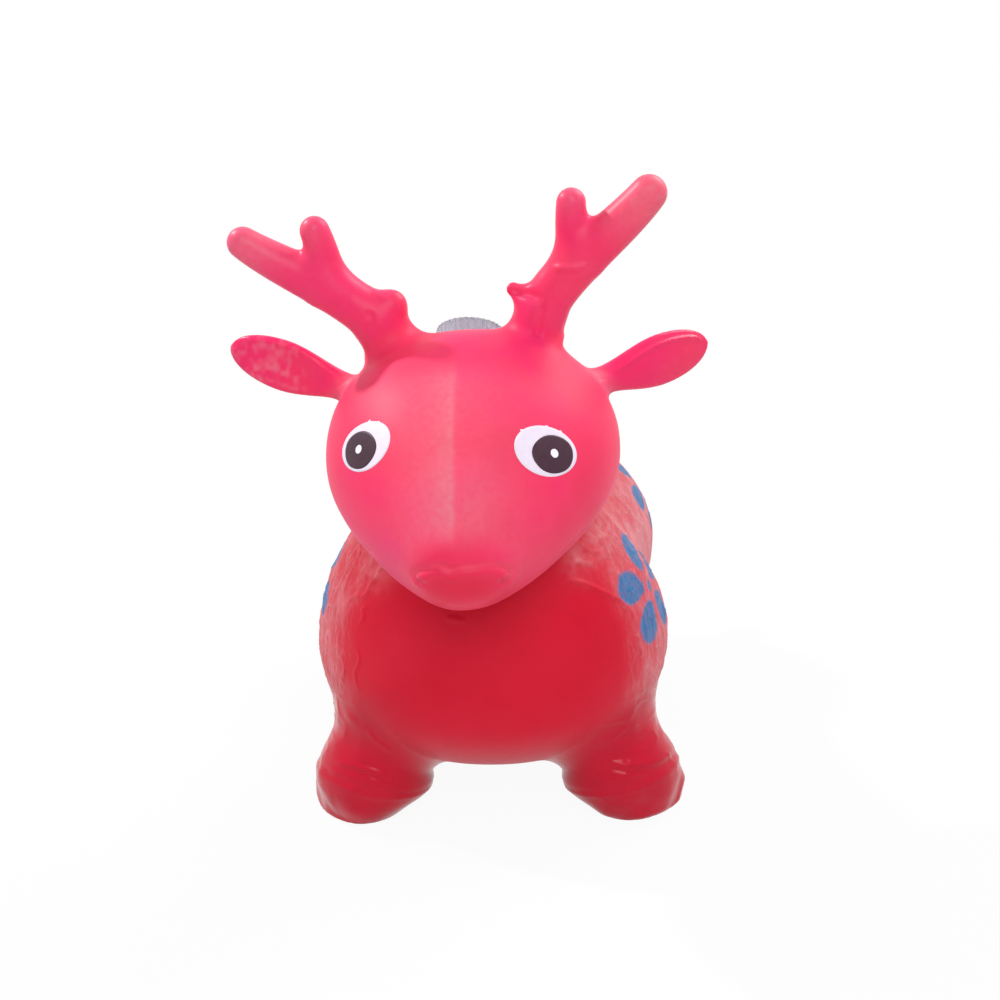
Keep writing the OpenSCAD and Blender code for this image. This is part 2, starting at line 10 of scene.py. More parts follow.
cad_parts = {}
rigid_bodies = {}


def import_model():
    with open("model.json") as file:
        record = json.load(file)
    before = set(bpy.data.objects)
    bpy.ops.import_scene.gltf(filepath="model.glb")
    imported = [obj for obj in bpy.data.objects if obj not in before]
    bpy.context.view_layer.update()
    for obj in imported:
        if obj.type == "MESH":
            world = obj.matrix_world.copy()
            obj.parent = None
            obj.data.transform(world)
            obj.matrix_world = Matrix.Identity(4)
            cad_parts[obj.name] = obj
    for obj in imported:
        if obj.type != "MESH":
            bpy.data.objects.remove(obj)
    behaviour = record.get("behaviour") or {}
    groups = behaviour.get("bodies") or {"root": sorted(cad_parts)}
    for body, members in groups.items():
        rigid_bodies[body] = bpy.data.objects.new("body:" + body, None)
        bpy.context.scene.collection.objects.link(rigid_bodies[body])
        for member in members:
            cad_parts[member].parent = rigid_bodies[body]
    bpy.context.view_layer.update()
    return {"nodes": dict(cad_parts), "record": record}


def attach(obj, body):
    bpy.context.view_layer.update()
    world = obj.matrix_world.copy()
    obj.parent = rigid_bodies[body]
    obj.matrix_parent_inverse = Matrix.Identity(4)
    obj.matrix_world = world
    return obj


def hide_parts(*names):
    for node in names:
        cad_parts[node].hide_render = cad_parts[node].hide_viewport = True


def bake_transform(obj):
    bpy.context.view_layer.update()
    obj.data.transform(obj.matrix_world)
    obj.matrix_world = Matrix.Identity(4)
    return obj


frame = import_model()
MM = 0.001

# Main sizes in millimetres and degrees, the same as in the part's source
CHEST_W, CHEST_Z, CHEST_RISE, CHEST_DROP, CHEST_FRONT = 276, 128, 112, 97, 126
RUMP_W, RUMP_RISE, RUMP_DROP, RUMP_BACK, RUMP_LIFT = 254, 110, 104, 122, 20
CHEST_TO_RUMP, WAIST_REACH = 218, 164
NECK_RISE, NECK_AHEAD, NECK_BACK = 146, 44, 132
SQUARE_UP, SQUARE_DOWN = 1.86, 2.12
HEAD_W, HEAD_RISE, JAW_DROP, SKULL_BACK, SKULL_FRONT = 206, 82, 54, 88, 138
HEAD_REACH, HEAD_LIFT, HEAD_SHIFT = 83, 168, 3
HEAD_PITCH, HEAD_TURN = 24, 2.5
SIDE_FALL, TOP_FALL, HEAD_SQUARE = 1.8, 1.5, 2.1
MUZZLE_W, MUZZLE_H, MUZZLE_AT, NOSE_FRONT, NOSE_ROUND = 92, 86, 94, 54, 36
FOOT_R, FRONT_OUT, REAR_OUT, FRONT_AHEAD, REAR_BEHIND = 49, 110, 86, 26, 18
RIGHT_STEP, RIGHT_IN = 14, 7
ANTLER_LEN, ANTLER_R, ANTLER_TIP_R = 136, 17, {"left": 12.5, "right": 11}
LEAN, RAKE = {"left": 39, "right": 51}, {"left": 10, "right": 12}
EAR_LEN, EAR_W, EAR_T, EAR_CURL = 95, 37, 13, 4
EAR_LIFT, EAR_SWEEP = {"left": 12, "right": 19}, {"left": 30, "right": 4}
POCKET_OUT_R, POCKET_DEEP, COLLAR_OUT_R, COLLAR_DEEP = 25.2, 18.5, 12.6, 9
TAIL_OUT, TAIL_R, TAIL_SLOPE = 10, 15, radians(38)
# The tail's root ahead of the rump's end and above its middle, and how far it runs on into the rump
TAIL_AHEAD, TAIL_UP, TAIL_SUNK = 44, 62, 20
# A leg's lean inwards for each millimetre of height, its length over its width, its gap to the torso,
# and the share of the foot's radius at the sole
LEG_LEAN, LEG_LONG, LEG_GAP, SOLE = 0.0035, 1.06, 0.35, 0.74
# How much slimmer the shank is than the foot, how much it flares at the top, and where the flare starts
LEG_SLIM, LEG_FLARE, FLARE_AT = 4, 2, 0.72
# The bead round a foot and the groove over it, as shares of the leg's height, and their width
BEAD_AT, GROOVE_AT, BEAD_WIDE = 0.39, 0.45, 0.03

# Sizes of the skin that differ from the part's source, because relief is added to it.
# The bead's height, and the depth of the toes as a share of the foot's radius
BEAD, TOES = 0.7, 0.06
# How far the leaf of an ear is bent, how hollow and how round its front is, and the rounding of its rim
EAR_BEND, EAR_BOWL = {"left": 0.3, "right": 0.5}, {"left": -0.7, "right": 0.75}
EAR_ROUND, EAR_RIM = {"left": 1.0, "right": 0.75}, 2.2
# Where an ear is widest, as a share of its length, half its width at the root, and its stalk in the head
EAR_WIDEST, EAR_ROOT, EAR_STALK = 0.56, 9, 14
# How far each antler's knob stands out, as a share of the antler's length, and its radius at the end
KNOB, KNOB_ROOT_R = {"left": (0.18, 4.8), "right": (0.125, 10.2)}, 15
# Where an antler's root starts, from its joint
ANTLER_ROOT = np.array([3, 0, -22])

MUZZLE_REACH = (MUZZLE_AT + NOSE_FRONT - NOSE_ROUND) * cos(radians(HEAD_PITCH))
NOSE_REACH = HEAD_REACH + MUZZLE_REACH + NOSE_ROUND
REAR_REACH = CHEST_TO_RUMP + RUMP_BACK + TAIL_OUT
CHEST_Y = (NOSE_REACH - REAR_REACH) / 2
RUMP_Y = CHEST_Y + CHEST_TO_RUMP
TORSO_FRONT, TORSO_REAR = CHEST_Y - CHEST_FRONT, RUMP_Y + RUMP_BACK
HEAD_MID = np.array([HEAD_SHIFT, CHEST_Y - HEAD_REACH, CHEST_Z + HEAD_LIFT])
SIDE = {"left": 1, "right": -1}

# Places and axes that the record's joints give, in millimetres
JOINTS = {j["name"]: j for j in frame["record"]["behaviour"]["joints"]}


def joint_place(name):
    return np.array(JOINTS[name]["pos_m"]) / MM


MODULE_PLACE = joint_place("cap_twist")
MODULE_AXIS = np.array(JOINTS["cap_twist"]["axis"])

# Size of a cell of the volume, fine on the head and coarser on the body, and the reach of the distances
FINE, COARSE, REACH = 1.25, 1.7, 18.0
# Radii of the fillets where the zones of the skin join
FILLET = {"leg": 16, "tail": 10, "head": 8, "antler": 15, "ear": 9, "rim": 7,
          "root": 6, "branch": 11, "knob_left": 6, "knob_right": 10}
# Room round and below what sits in a hole of the skin
HOLE_ROOM, HOLE_DEEPER = 0.05, 1
# The rim round the pocket: its width, its drop below the module's flange, and its depth
RIM_WIDE, RIM_DROP, RIM_DEEP = 3.5, 0.2, 30
# Lowest and highest corners of the boxes that hold the body, and the head with its ears and antlers
BODY_BOX = [-158, TORSO_FRONT - 12, -8], [158, TORSO_REAR + 26, 304]
HEAD_BOX = [-192, -302, 176], [190, -28, 494]


# Curves shared with the part's source

def joined(a, b, n):
    return (a ** n + b ** n) ** (1 / n)


def swell(t, before, after):
    return np.sqrt(np.clip(1 - (t / np.where(t < 0, before, after)) ** 2, 0, None))


def ease(t):
    k = np.clip(t, 0, 1)
    return k * k * (3 - 2 * k)


def crowd(n):
    """Even steps from 0 to 1 that crowd towards both ends, without the ends."""
    return (1 - np.cos(np.pi * np.arange(1, n) / n)) / 2


def outline(w, up, down, square_up, square_down, a):
    c, s = np.cos(a), np.sin(a)
    e = 2 / np.where(s < 0, square_down, square_up)
    x = w * np.sign(c) * np.abs(c) ** e
    return x, np.where(s < 0, down, up) * np.sign(s) * np.abs(s) ** e


def torso_mid(y):
    return CHEST_Z + RUMP_LIFT * ease((y - CHEST_Y) / CHEST_TO_RUMP)


def torso_half(y, chest, rump):
    front = chest * swell(y - CHEST_Y, CHEST_FRONT, WAIST_REACH)
    return joined(front, rump * swell(y - RUMP_Y, WAIST_REACH, RUMP_BACK), 4)


def torso_up(y):
    t = y - CHEST_Y + NECK_AHEAD
    neck = swell(t, CHEST_FRONT - NECK_AHEAD, NECK_BACK) ** np.where(t < 0, 1, 3)
    return joined(torso_half(y, CHEST_RISE, RUMP_RISE), NECK_RISE * neck, 4)


def torso_depth(p, grow):
    """Below zero inside the torso grown by a little all round."""
    y = p[..., 1]
    h = p[..., 2] - torso_mid(y)
    w = torso_half(y, CHEST_W / 2, RUMP_W / 2) + grow
    tall = np.where(h < 0, torso_half(y, CHEST_DROP, RUMP_DROP), torso_up(y)) + grow
    e = np.where(h < 0, SQUARE_DOWN, SQUARE_UP)
    return (np.abs(p[..., 0]) / w) ** e + (np.abs(h) / tall) ** e - 1


def head_half(s, skull, muzzle, fall):
    skull = skull * swell(s, SKULL_BACK, SKULL_FRONT) ** np.where(s < 0, 1, fall)
    t = s - MUZZLE_AT
    return joined(skull, muzzle * swell(t, MUZZLE_AT, NOSE_FRONT) ** np.where(t < 0, 1, 0.88), 3)


def turn(axis, degrees):
    """A turn about one of the axes."""
    i = "xyz".index(axis)
    j, k = (i + 1) % 3, (i + 2) % 3
    c, n = cos(radians(degrees)), sin(radians(degrees))
    out = np.eye(3)
    out[j, j], out[k, k], out[k, j], out[j, k] = c, c, n, -n
    return out


HEAD_TILT = turn("z", HEAD_TURN) @ turn("x", HEAD_PITCH)


def head_point(x, s, h):
    return HEAD_MID + np.stack(np.broadcast_arrays(x, -s, h), -1) @ HEAD_TILT.T


def head_coordinates(p):
    """Across, along and above the middle line of the head."""
    x, back, h = ((p - HEAD_MID) @ HEAD_TILT).T
    return x, -back, h


# Closed forms, each a row of rings with a point at each end

def loft(rings, first, last):
    n, m = rings.shape[:2]
    points = np.vstack([rings.reshape(-1, 3), first, last])
    j, k = np.arange(m), (np.arange(m) + 1) % m
    a, b = ((np.arange(n - 1)[:, None] * m + corner).ravel() for corner in (j, k))
    quads = np.stack([a, a + m, b + m, b], 1)
    near = np.stack([np.full(m, n * m), j, k], 1)
    far = np.stack([np.full(m, n * m + 1), (n - 1) * m + k, (n - 1) * m + j], 1)
    return points, np.vstack([near, far]), quads


def angles(n):
    return 2 * np.pi * np.arange(n) / n


def torso_form(rings=130, sides=140):
    y = (TORSO_FRONT + (TORSO_REAR - TORSO_FRONT) * crowd(rings))[:, None]
    wide, down = torso_half(y, CHEST_W / 2, RUMP_W / 2), torso_half(y, CHEST_DROP, RUMP_DROP)
    x, z = outline(wide, torso_up(y), down, SQUARE_UP, SQUARE_DOWN, angles(sides))
    points = np.stack([x, np.broadcast_to(y, x.shape), torso_mid(y) + z], -1)
    return loft(points, [0, TORSO_FRONT, torso_mid(TORSO_FRONT)], [0, TORSO_REAR, torso_mid(TORSO_REAR)])


def head_form(rings=120, sides=120):
    s = (-SKULL_BACK + (SKULL_BACK + MUZZLE_AT + NOSE_FRONT) * crowd(rings))[:, None]
    wide = head_half(s, HEAD_W / 2, MUZZLE_W / 2, SIDE_FALL)
    up, down = (head_half(s, tall, MUZZLE_H / 2, TOP_FALL) for tall in (HEAD_RISE, JAW_DROP))
    x, h = outline(wide, up, down, HEAD_SQUARE, HEAD_SQUARE, angles(sides))
    return loft(head_point(x, s, h), head_point(0, -SKULL_BACK, 0), head_point(0, MUZZLE_AT + NOSE_FRONT, 0))


def leg_r(f):
    """Radius of a leg at a share of its height: a rounded sole, a bead, a slimmer shank and a flare."""
    foot = FOOT_R * (SOLE + (1 - SOLE) * np.sin(np.pi / 2 * np.minimum(f / GROOVE_AT, 1)))
    bead = np.exp(-((f - BEAD_AT) / BEAD_WIDE) ** 2) - np.exp(-((f - GROOVE_AT) / BEAD_WIDE) ** 2)
    shank = LEG_FLARE * ease((f - FLARE_AT) / 0.28) - LEG_SLIM * ease((f - GROOVE_AT) / 0.3)
    return foot + BEAD * bead + shank


def leg_form(out, y, sides=72):
    """A foot and leg that runs on into the torso."""
    a = angles(sides)
    toes = TOES * np.cos(3 * (a - radians(270 - 15 * np.sign(out))))

    def spot(r, z):
        x = out * (1 - LEG_LEAN * z) + r * np.cos(a)
        return np.stack([x, y + LEG_LONG * r * np.sin(a), z + 0 * a], -1)

    low, high = np.full(sides, 12.0), np.full(sides, float(CHEST_Z))
    for _ in range(16):
        mid = (low + high) / 2
        inside = torso_depth(spot(leg_r(np.array(1.0)), mid), LEG_GAP) < 0
        low, high = np.where(inside, low, mid), np.where(inside, mid, high)
    rows = np.concatenate([[0, 0.01, 0.03], np.linspace(0.05, 1.25, 70)])
    rings = np.array([spot(leg_r(np.array(f)) * (1 + toes * ease((0.36 - f) / 0.3)), low * f) for f in rows])
    return loft(rings, [out, y, 0], rings[-1].mean(0))


def tail_form(sides=40, steps=24):
    """A short drop that stands on the upper rump."""
    low = np.array([0, TORSO_REAR - TAIL_AHEAD, torso_mid(TORSO_REAR) + TAIL_UP])
    c, n = cos(TAIL_SLOPE), sin(TAIL_SLOPE)
    way = np.array([0, c, n])
    length = (TORSO_REAR + TAIL_OUT - low[1]) / c - 1.5
    a = angles(sides)[None, :]
    k = (np.arange(steps) / steps)[:, None]
    f = np.sin(np.pi / 2 * k)
    r = TAIL_R * swell(k, 1, 1) * (1 + 0.3 * np.sin(np.pi * f))
    t = -TAIL_SUNK + (length + TAIL_SUNK) * f
    rings = low + t[..., None] * way
    rings = rings + np.stack([r * np.cos(a), r * np.sin(a) * n, -r * np.sin(a) * c], -1)
    return loft(rings, low - TAIL_SUNK * way, low + length * way)


def ear_turn(side):
    return turn("z", EAR_SWEEP[side]) @ turn("y", -EAR_LIFT[side])


def ear_half(k):
    """Half the width of an ear at a share of its length."""
    root = EAR_ROOT + (EAR_W / 2 - EAR_ROOT) * ease(0.08 + 0.92 * k / EAR_WIDEST)
    tip = EAR_W / 2 * np.clip(1 - ((k - EAR_WIDEST) / (1 - EAR_WIDEST)) ** 2, 0, None) ** 0.46
    return np.where(k < EAR_WIDEST, root, tip)


def ear_form(side, sides=64, steps=40):
    """The core of a leaf with a dished front, whose stalk runs on into the head."""
    k = np.sin(np.pi / 2 * np.arange(steps) / steps)[:, None]
    a = angles(sides)[None, :]
    wide = np.clip(ear_half(k) - EAR_RIM, 0.2, None)
    deep = EAR_T / 2 * np.clip(1 - k * k, 0, None) ** 0.4 + 4 * np.clip(1 - k * 2.5, 0, None) ** 2
    deep = np.clip(deep - EAR_RIM, 0.2, None)
    bend = EAR_BEND[side] * deep * ease(k * 2.5) * (0.5 - np.sin(a) ** 2)
    round_a = np.sign(np.cos(a)) * np.abs(np.cos(a)) ** EAR_ROUND[side]
    bowl = 1 - EAR_BOWL[side] * ease(k * 3 - 0.3) * np.clip(-np.cos(a), 0, None) ** 1.5
    length = EAR_LEN - EAR_RIM
    rings = np.stack([np.broadcast_to(k * length, (steps, sides)),
                      bend + deep * round_a * bowl + EAR_CURL * k * k, wide * np.sin(a)], -1)
    stalk = rings[:1] - [EAR_STALK, 0, 0]
    points, triangles, quads = loft(np.vstack([stalk, rings]), [-EAR_STALK, 0, 0], [length, EAR_CURL, 0])
    points = points @ ear_turn(side).T * [SIDE[side], 1, 1]
    return points + joint_place(f"ear_{side}_flex"), triangles, quads


def ear_coordinates(p, side):
    """Along an ear, behind its middle and above it."""
    return (p - joint_place(f"ear_{side}_flex")) * [SIDE[side], 1, 1] @ ear_turn(side)


def bow(t, a, b, c, d):
    t = np.asarray(t)[..., None]
    return a * (1 - t) ** 3 + b * 3 * t * (1 - t) ** 2 + c * 3 * t * t * (1 - t) + d * t ** 3


BEAM_END = 1 - ANTLER_TIP_R["left"] / ANTLER_LEN
BEAM = ANTLER_LEN * np.array([[0, 0, 0], [-0.17, 0, 0.17], [-0.01, 0, 0.6], [0, 0, BEAM_END]])

BRANCH = ANTLER_LEN * np.array([[-0.05, 0, 0.06], [-0.2, 0, 0.535], [-0.275, 0, 0.645]])


def beam_at(t):
    return bow(t, *BEAM)


def branch_at(t):
    root = beam_at(0.5)
    return bow(t, root, root + BRANCH[0], *BRANCH[1:])


def straight(start, way):
    return lambda t: start + np.asarray(t)[..., None] * way


def tube(curve, radius, start=0.0, steps=40, sides=40):
    """A round tube along a curve in the plane of the antler, with a domed end."""
    t = np.linspace(start, 1, steps)
    p, r = curve(t), radius(t)
    d = curve(t + 0.01) - p
    tip_d = d[-1] / np.linalg.norm(d[-1])
    dome = np.radians([15, 30, 45, 60, 75])
    p = np.vstack([p, p[-1] + r[-1] * np.sin(dome)[:, None] * tip_d])
    r = np.concatenate([r, r[-1] * np.cos(dome)])
    d = np.vstack([d, np.repeat(d[-1:], len(dome), 0)])
    d /= np.linalg.norm(d, axis=1)[:, None]
    n = np.stack([d[:, 2], 0 * d[:, 2], -d[:, 0]], -1)
    a = angles(sides)
    ring = n[:, None] * np.cos(a)[None, :, None] + np.array([0, 1, 0]) * np.sin(a)[None, :, None]
    rings = p[:, None] + r[:, None, None] * ring
    return loft(rings, p[0], curve(1.0) + radius(1.0) * tip_d)


def antler_parts(side):
    """The beam, its branch, its knob and its root, in place on the head."""
    end_r, fork_r, prong_r = ANTLER_TIP_R[side], ANTLER_R * 0.74, ANTLER_TIP_R["left"] * 0.8
    out, knob_r = KNOB[side]
    knob_way = ANTLER_LEN * np.array([-out, 0, -0.01])
    parts = [
        tube(beam_at, lambda t: ANTLER_R + (end_r - ANTLER_R) * t * t, -0.05),
        tube(branch_at, lambda t: fork_r + (prong_r - fork_r) * t),
        tube(straight(beam_at(0.2), knob_way), lambda t: KNOB_ROOT_R + (knob_r - KNOB_ROOT_R) * t),
        tube(straight(ANTLER_ROOT, beam_at(0.16) - ANTLER_ROOT), lambda t: ANTLER_R + 0 * t),
    ]
    tilt = (turn("x", RAKE[side]) @ turn("y", LEAN[side])).T
    place = joint_place(f"antler_{side}_flex")
    return [(p @ tilt * [SIDE[side], 1, 1] + place, tri, quad) for p, tri, quad in parts]


# Volumes: distances on a regular grid, joined with soft fillets

def between(table, i, f):
    """Values of a table between the eight cells round each place."""
    total = 0
    for corner in np.ndindex(2, 2, 2):
        j = (i + corner) % table.shape
        total = total + np.prod(np.where(corner, f, 1 - f), axis=1) * table[j[:, 0], j[:, 1], j[:, 2]]
    return total


class Volume:
    """A box of cells that holds the distance to each zone of the skin."""

    def __init__(self, cell, low, high):
        self.cell = cell
        self.low = np.floor(np.array(low) / cell).astype(int)
        self.corner = tuple(int(v) for v in self.low)
        self.shape = tuple(np.ceil(np.array(high) / cell).astype(int) - self.low)
        self.transform = openvdb.createLinearTransform(voxelSize=cell)
        self.zones = {}

    def distance(self, form):
        kinds = np.float32, np.uint32, np.uint32
        points, triangles, quads = (np.ascontiguousarray(part, kind) for part, kind in zip(form, kinds))
        grid = openvdb.FloatGrid.createLevelSetFromPolygons(
            points, triangles=triangles, quads=quads, transform=self.transform, halfWidth=REACH / self.cell)
        out = np.full(self.shape, REACH, np.float32)
        grid.copyToArray(out, ijk=self.corner)
        return out

    def places(self):
        axes = [(self.low[i] + np.arange(self.shape[i])) * self.cell for i in range(3)]
        return np.meshgrid(*axes, indexing="ij", sparse=True)

    def round_hole(self, place, axis):
        """Distance along and out from an axis through a place."""
        q = [c - at for c, at in zip(self.places(), place)]
        along = sum(c * n for c, n in zip(q, axis))
        return along, np.sqrt(np.maximum(sum(c ** 2 for c in q) - along ** 2, 0))

    def surface(self, d):
        grid = openvdb.FloatGrid(REACH)
        grid.copyFromArray(np.ascontiguousarray(d), ijk=self.corner)
        grid.transform = self.transform
        points, quads = grid.convertToQuads(isovalue=0.0)
        return points.astype(float), quads.astype(int)

    def sample(self, name, p):
        """The distance to one zone at any points."""
        q = p / self.cell - self.low
        i = np.clip(np.floor(q).astype(int), 0, np.array(self.shape) - 2)
        return between(self.zones[name], i, np.clip(q - i, 0, 1))


def blend_in(a, b, k):
    """Joins two distances with a fillet of about that size."""
    h = np.clip(0.5 + 0.5 * (b - a) / k, 0, 1)
    return b + (a - b) * h - k * h * (1 - h)


def antler_distance(volume, side):
    beam, branch, knob, root = [volume.distance(form) for form in antler_parts(side)]
    beam = blend_in(blend_in(beam, root, FILLET["root"]), branch, FILLET["branch"])
    return blend_in(beam, knob, FILLET[f"knob_{side}"])


def drill(d, along, out, radius, deep):
    """Takes a round hole out of the skin for what sits in it."""
    return np.maximum(d, -np.maximum(out - radius - HOLE_ROOM, -along - deep - HOLE_DEEPER))


LEGS = {
    "leg_front_left": (FRONT_OUT, CHEST_Y - FRONT_AHEAD),
    "leg_front_right": (RIGHT_IN - FRONT_OUT, CHEST_Y - FRONT_AHEAD - RIGHT_STEP),
    "leg_rear_left": (REAR_OUT, RUMP_Y + REAR_BEHIND),
    "leg_rear_right": (-REAR_OUT, RUMP_Y + REAR_BEHIND),
}


def join_zones(zones):
    """Joins zones in their order, each with the fillet of its kind."""
    first, *rest = zones
    d = zones[first]
    for name in rest:
        d = blend_in(d, zones[name], FILLET[name.split("_")[0]])
    return d


def lower_volume():
    v = Volume(COARSE, *BODY_BOX)
    legs = {name: leg_form(*place) for name, place in LEGS.items()}
    forms = {"torso": torso_form(), **legs, "tail": tail_form(), "head": head_form()}
    v.zones = {name: v.distance(form) for name, form in forms.items()}
    d = np.maximum(join_zones(v.zones), -v.places()[2])
    along, out = v.round_hole([0, TORSO_REAR, torso_mid(TORSO_REAR)], [0, 1, 0])
    return v, drill(d, along, out, COLLAR_OUT_R, COLLAR_DEEP).astype(np.float32)


def upper_volume():
    v = Volume(FINE, *HEAD_BOX)
    v.zones = {"torso": v.distance(torso_form()), "head": v.distance(head_form())}
    for side in SIDE:
        v.zones[f"antler_{side}"] = antler_distance(v, side)
        v.zones[f"ear_{side}"] = v.distance(ear_form(side)) - EAR_RIM
    along, out = v.round_hole(MODULE_PLACE, MODULE_AXIS)
    rim = np.maximum(out - POCKET_OUT_R - RIM_WIDE, np.maximum(along + RIM_DROP, -along - RIM_DEEP))
    d = blend_in(join_zones(v.zones), rim, FILLET["rim"])
    return v, drill(d, along, out, POCKET_OUT_R, POCKET_DEEP).astype(np.float32)


# Relief: what is moulded into the skin, as heights along its normals

def noise(p, cell, seed):
    """Smooth noise between -1 and 1, with about one bump a cell."""
    table = np.random.default_rng(seed).uniform(-1, 1, (32, 32, 32))
    q = p / cell
    i = np.floor(q).astype(int)
    return between(table, i, ease(q - i))


def creased(n):
    """Turns smooth noise into thin raised lines."""
    return np.clip(1 - np.abs(n) * 3.2, 0, None) ** 1.5


def wander(p, cell, seed):
    """A smooth shift in all three directions, which makes a pattern less even."""
    return np.stack([noise(p, cell, seed + k) for k in range(3)], -1)


def spot_at(p, place, reach):
    """A soft spot, 1 at a place and 0 away from it."""
    return np.exp(-(np.linalg.norm(p - place, axis=1) / reach) ** 2)


def smooth_path(points, steps=10):
    """A smooth curve through a few points."""
    p = np.array(points, float)
    p = np.vstack([2 * p[0] - p[1], p, 2 * p[-1] - p[-2]])
    out = []
    for a, b, c, d in zip(p[:-3], p[1:-2], p[2:-1], p[3:]):
        t = np.linspace(0, 1, steps, endpoint=False)[:, None]
        out.append(0.5 * (2 * b + (c - a) * t + (2 * a - 5 * b + 4 * c - d) * t ** 2
                          + (3 * b - a - 3 * c + d) * t ** 3))
    return np.vstack(out + [p[-2:-1]])


def line(p, path, width, tapered=True):
    """A soft line, 1 on the path and 0 away from it, that can thin out towards its ends."""
    out = np.zeros(len(p))
    near = np.all((p > path.min(0) - 4 * width) & (p < path.max(0) + 4 * width), axis=1)
    if near.any():
        q = p[near]
        best, share = np.full(len(q), 1e9), np.zeros(len(q))
        for i, (a, b) in enumerate(zip(path[:-1], path[1:])):
            t = np.clip((q - a) @ (b - a) / max((b - a) @ (b - a), 1e-9), 0, 1)
            gap = np.linalg.norm(q - a - t[:, None] * (b - a), axis=1)
            closer = gap < best
            best[closer], share[closer] = gap[closer], (i + t[closer]) / (len(path) - 1)
        ends = np.clip(6 * share * (1 - share), 0, 1) if tapered else 1
        out[near] = np.exp(-(best / width) ** 2) * ends
    return out


def vertex_normals(points, quads):
    a, b = points[quads[:, 2]] - points[quads[:, 0]], points[quads[:, 3]] - points[quads[:, 1]]
    face = np.cross(a, b)
    n = np.zeros_like(points)
    for k in range(4):
        np.add.at(n, quads[:, k], face)
    return n / np.maximum(np.linalg.norm(n, axis=1), 1e-12)[:, None]


def outward(points, quads, volume, d):
    """Turns the faces outwards if they came back inside out."""
    n = vertex_normals(points, quads)
    volume.zones["whole"] = d
    test = points + n * volume.cell
    if np.mean(volume.sample("whole", test)) < 0:
        quads = quads[:, ::-1]
        n = -n
    return quads, n


def along_skin(normal):
    """Two directions along the skin: level, and upwards from there."""
    u = Vector((0, 0, 1)).cross(normal).normalized()
    return u, normal.cross(u)


def snap(tree, path):
    """Sets a path down on the skin."""
    return np.array([tree.find_nearest(Vector(q))[0] for q in path])


# Height of the bib's edge, and its half width there
BIB = np.array([[60, 84], [80, 99], [100, 108], [130, 113], [163, 110], [182, 101], [200, 92], [240, 80]])


def outside_bib(p):
    edge = np.interp(p[:, 2], BIB[:, 0], BIB[:, 1]) - np.where(p[:, 0] < 0, 14, 0)
    beside = ease((np.abs(p[:, 0]) - edge) / 26 + 0.4)
    return np.maximum(beside, ease((p[:, 1] + 118) / 40))


# Raised and sunk lines on the skin, each a height, a width and a path that is set down on it
BODY_LINES = [
    (1.7, 1.7, [(62.4, -162.4, 202), (74, -155.3, 199.7), (89.6, -146.8, 190.3), (105.1, -134.9, 177.2),
                (112.1, -129.7, 166), (116.1, -126, 158.1)]),
    (-0.7, 2.8, [(52.1, -172.3, 187.4), (62.3, -168.8, 181.8), (74.5, -164.5, 172.1), (82.6, -161.9, 158.3)]),
    (0.6, 2.2, [(109, -133, 169.6), (114.2, -130, 156.8), (118.3, -127.2, 137.8), (117, -123, 104.5)]),
    (1.0, 1.6, [(-63.9, -159.9, 205), (-69.8, -156.6, 203.9), (-76.2, -154.7, 197.3), (-78.7, -155.1, 191.7),
                (-83.9, -152.9, 187.5), (-88, -149.4, 188.3), (-95.7, -144, 181.1), (-98.4, -144.8, 172)]),
    (0.9, 1.6, [(-75.9, -160.2, 184.2), (-82.5, -156.4, 179.5), (-81.2, -158.9, 174.6),
                (-86.6, -156.3, 169)]),
    (0.8, 1.6, [(-102.6, -142.9, 161.9), (-106.1, -142.6, 145.2), (-100.7, -150, 131.4),
                (-106.6, -140.8, 110.9)]),
    (0.7, 1.6, [(-89.8, -157.4, 150.8), (-86, -161.7, 143.1), (-91, -158.4, 130), (-88.2, -159.9, 116.5)]),
    (1.2, 1.9, [(-17.5, -183.7, 181.4), (-11.2, -184.2, 182), (-2.7, -184.9, 179.8)]),
    (0.8, 2.0, [(-84.2, -151.9, 87.3), (-80.5, -152.6, 78.2), (-74, -152.9, 71.9), (-68.5, -151.5, 66.8)]),
]
# Bands round the front feet, each a raised line over a sunk one
FOOT_BANDS = [
    [(-116, -138, 50.5), (-106.7, -147.8, 52.7), (-98, -151.7, 53.4), (-88.6, -153.1, 51.4),
     (-76, -151.9, 46.8), (-65, -146.2, 42.6)],
    [(86.7, -138.4, 54.3), (101.6, -137.5, 50.8), (116.4, -132.8, 47.9), (131.4, -120.1, 46.2),
     (140.8, -96.7, 43.7)],
]
BODY_LINES += [(1.0, 1.8, band) for band in FOOT_BANDS]
BODY_LINES += [(-0.8, 1.9, [(x, y, z - 4.6) for x, y, z in band]) for band in FOOT_BANDS]

# Creased places beside the neck, paler there as painted sheen, with their reach
FOLDS_AND_SHEEN = [((88, -123, 226), 22), ((78, -148, 216), 14), ((-70, -152, 214), 16), ((100, -70, 215), 30)]
# Number of thin wrinkles on the flanks, and the seed of their places
HAIRS, HAIR_SEED = 170, 23


def hair_lines():
    """Thin wavy wrinkles that run down both flanks outside the bib."""
    rng = np.random.default_rng(HAIR_SEED)
    lines = []
    for _ in range(HAIRS):
        side = rng.choice([-1, 1])
        a = radians(rng.uniform(46 if side < 0 else 56, 100))
        start = np.array([side * CHEST_W / 2 * sin(a), CHEST_Y - CHEST_FRONT * cos(a),
                          rng.uniform(100, 212)])
        long, slant = rng.uniform(10, 26), rng.normal(0, 0.3)
        path = [start + [0, slant * long * k + rng.normal(0, 1.3), -long * k] for k in np.linspace(0, 1, 5)]
        lines.append((rng.uniform(0.3, 0.7), rng.uniform(1.4, 1.8), path))
    return lines


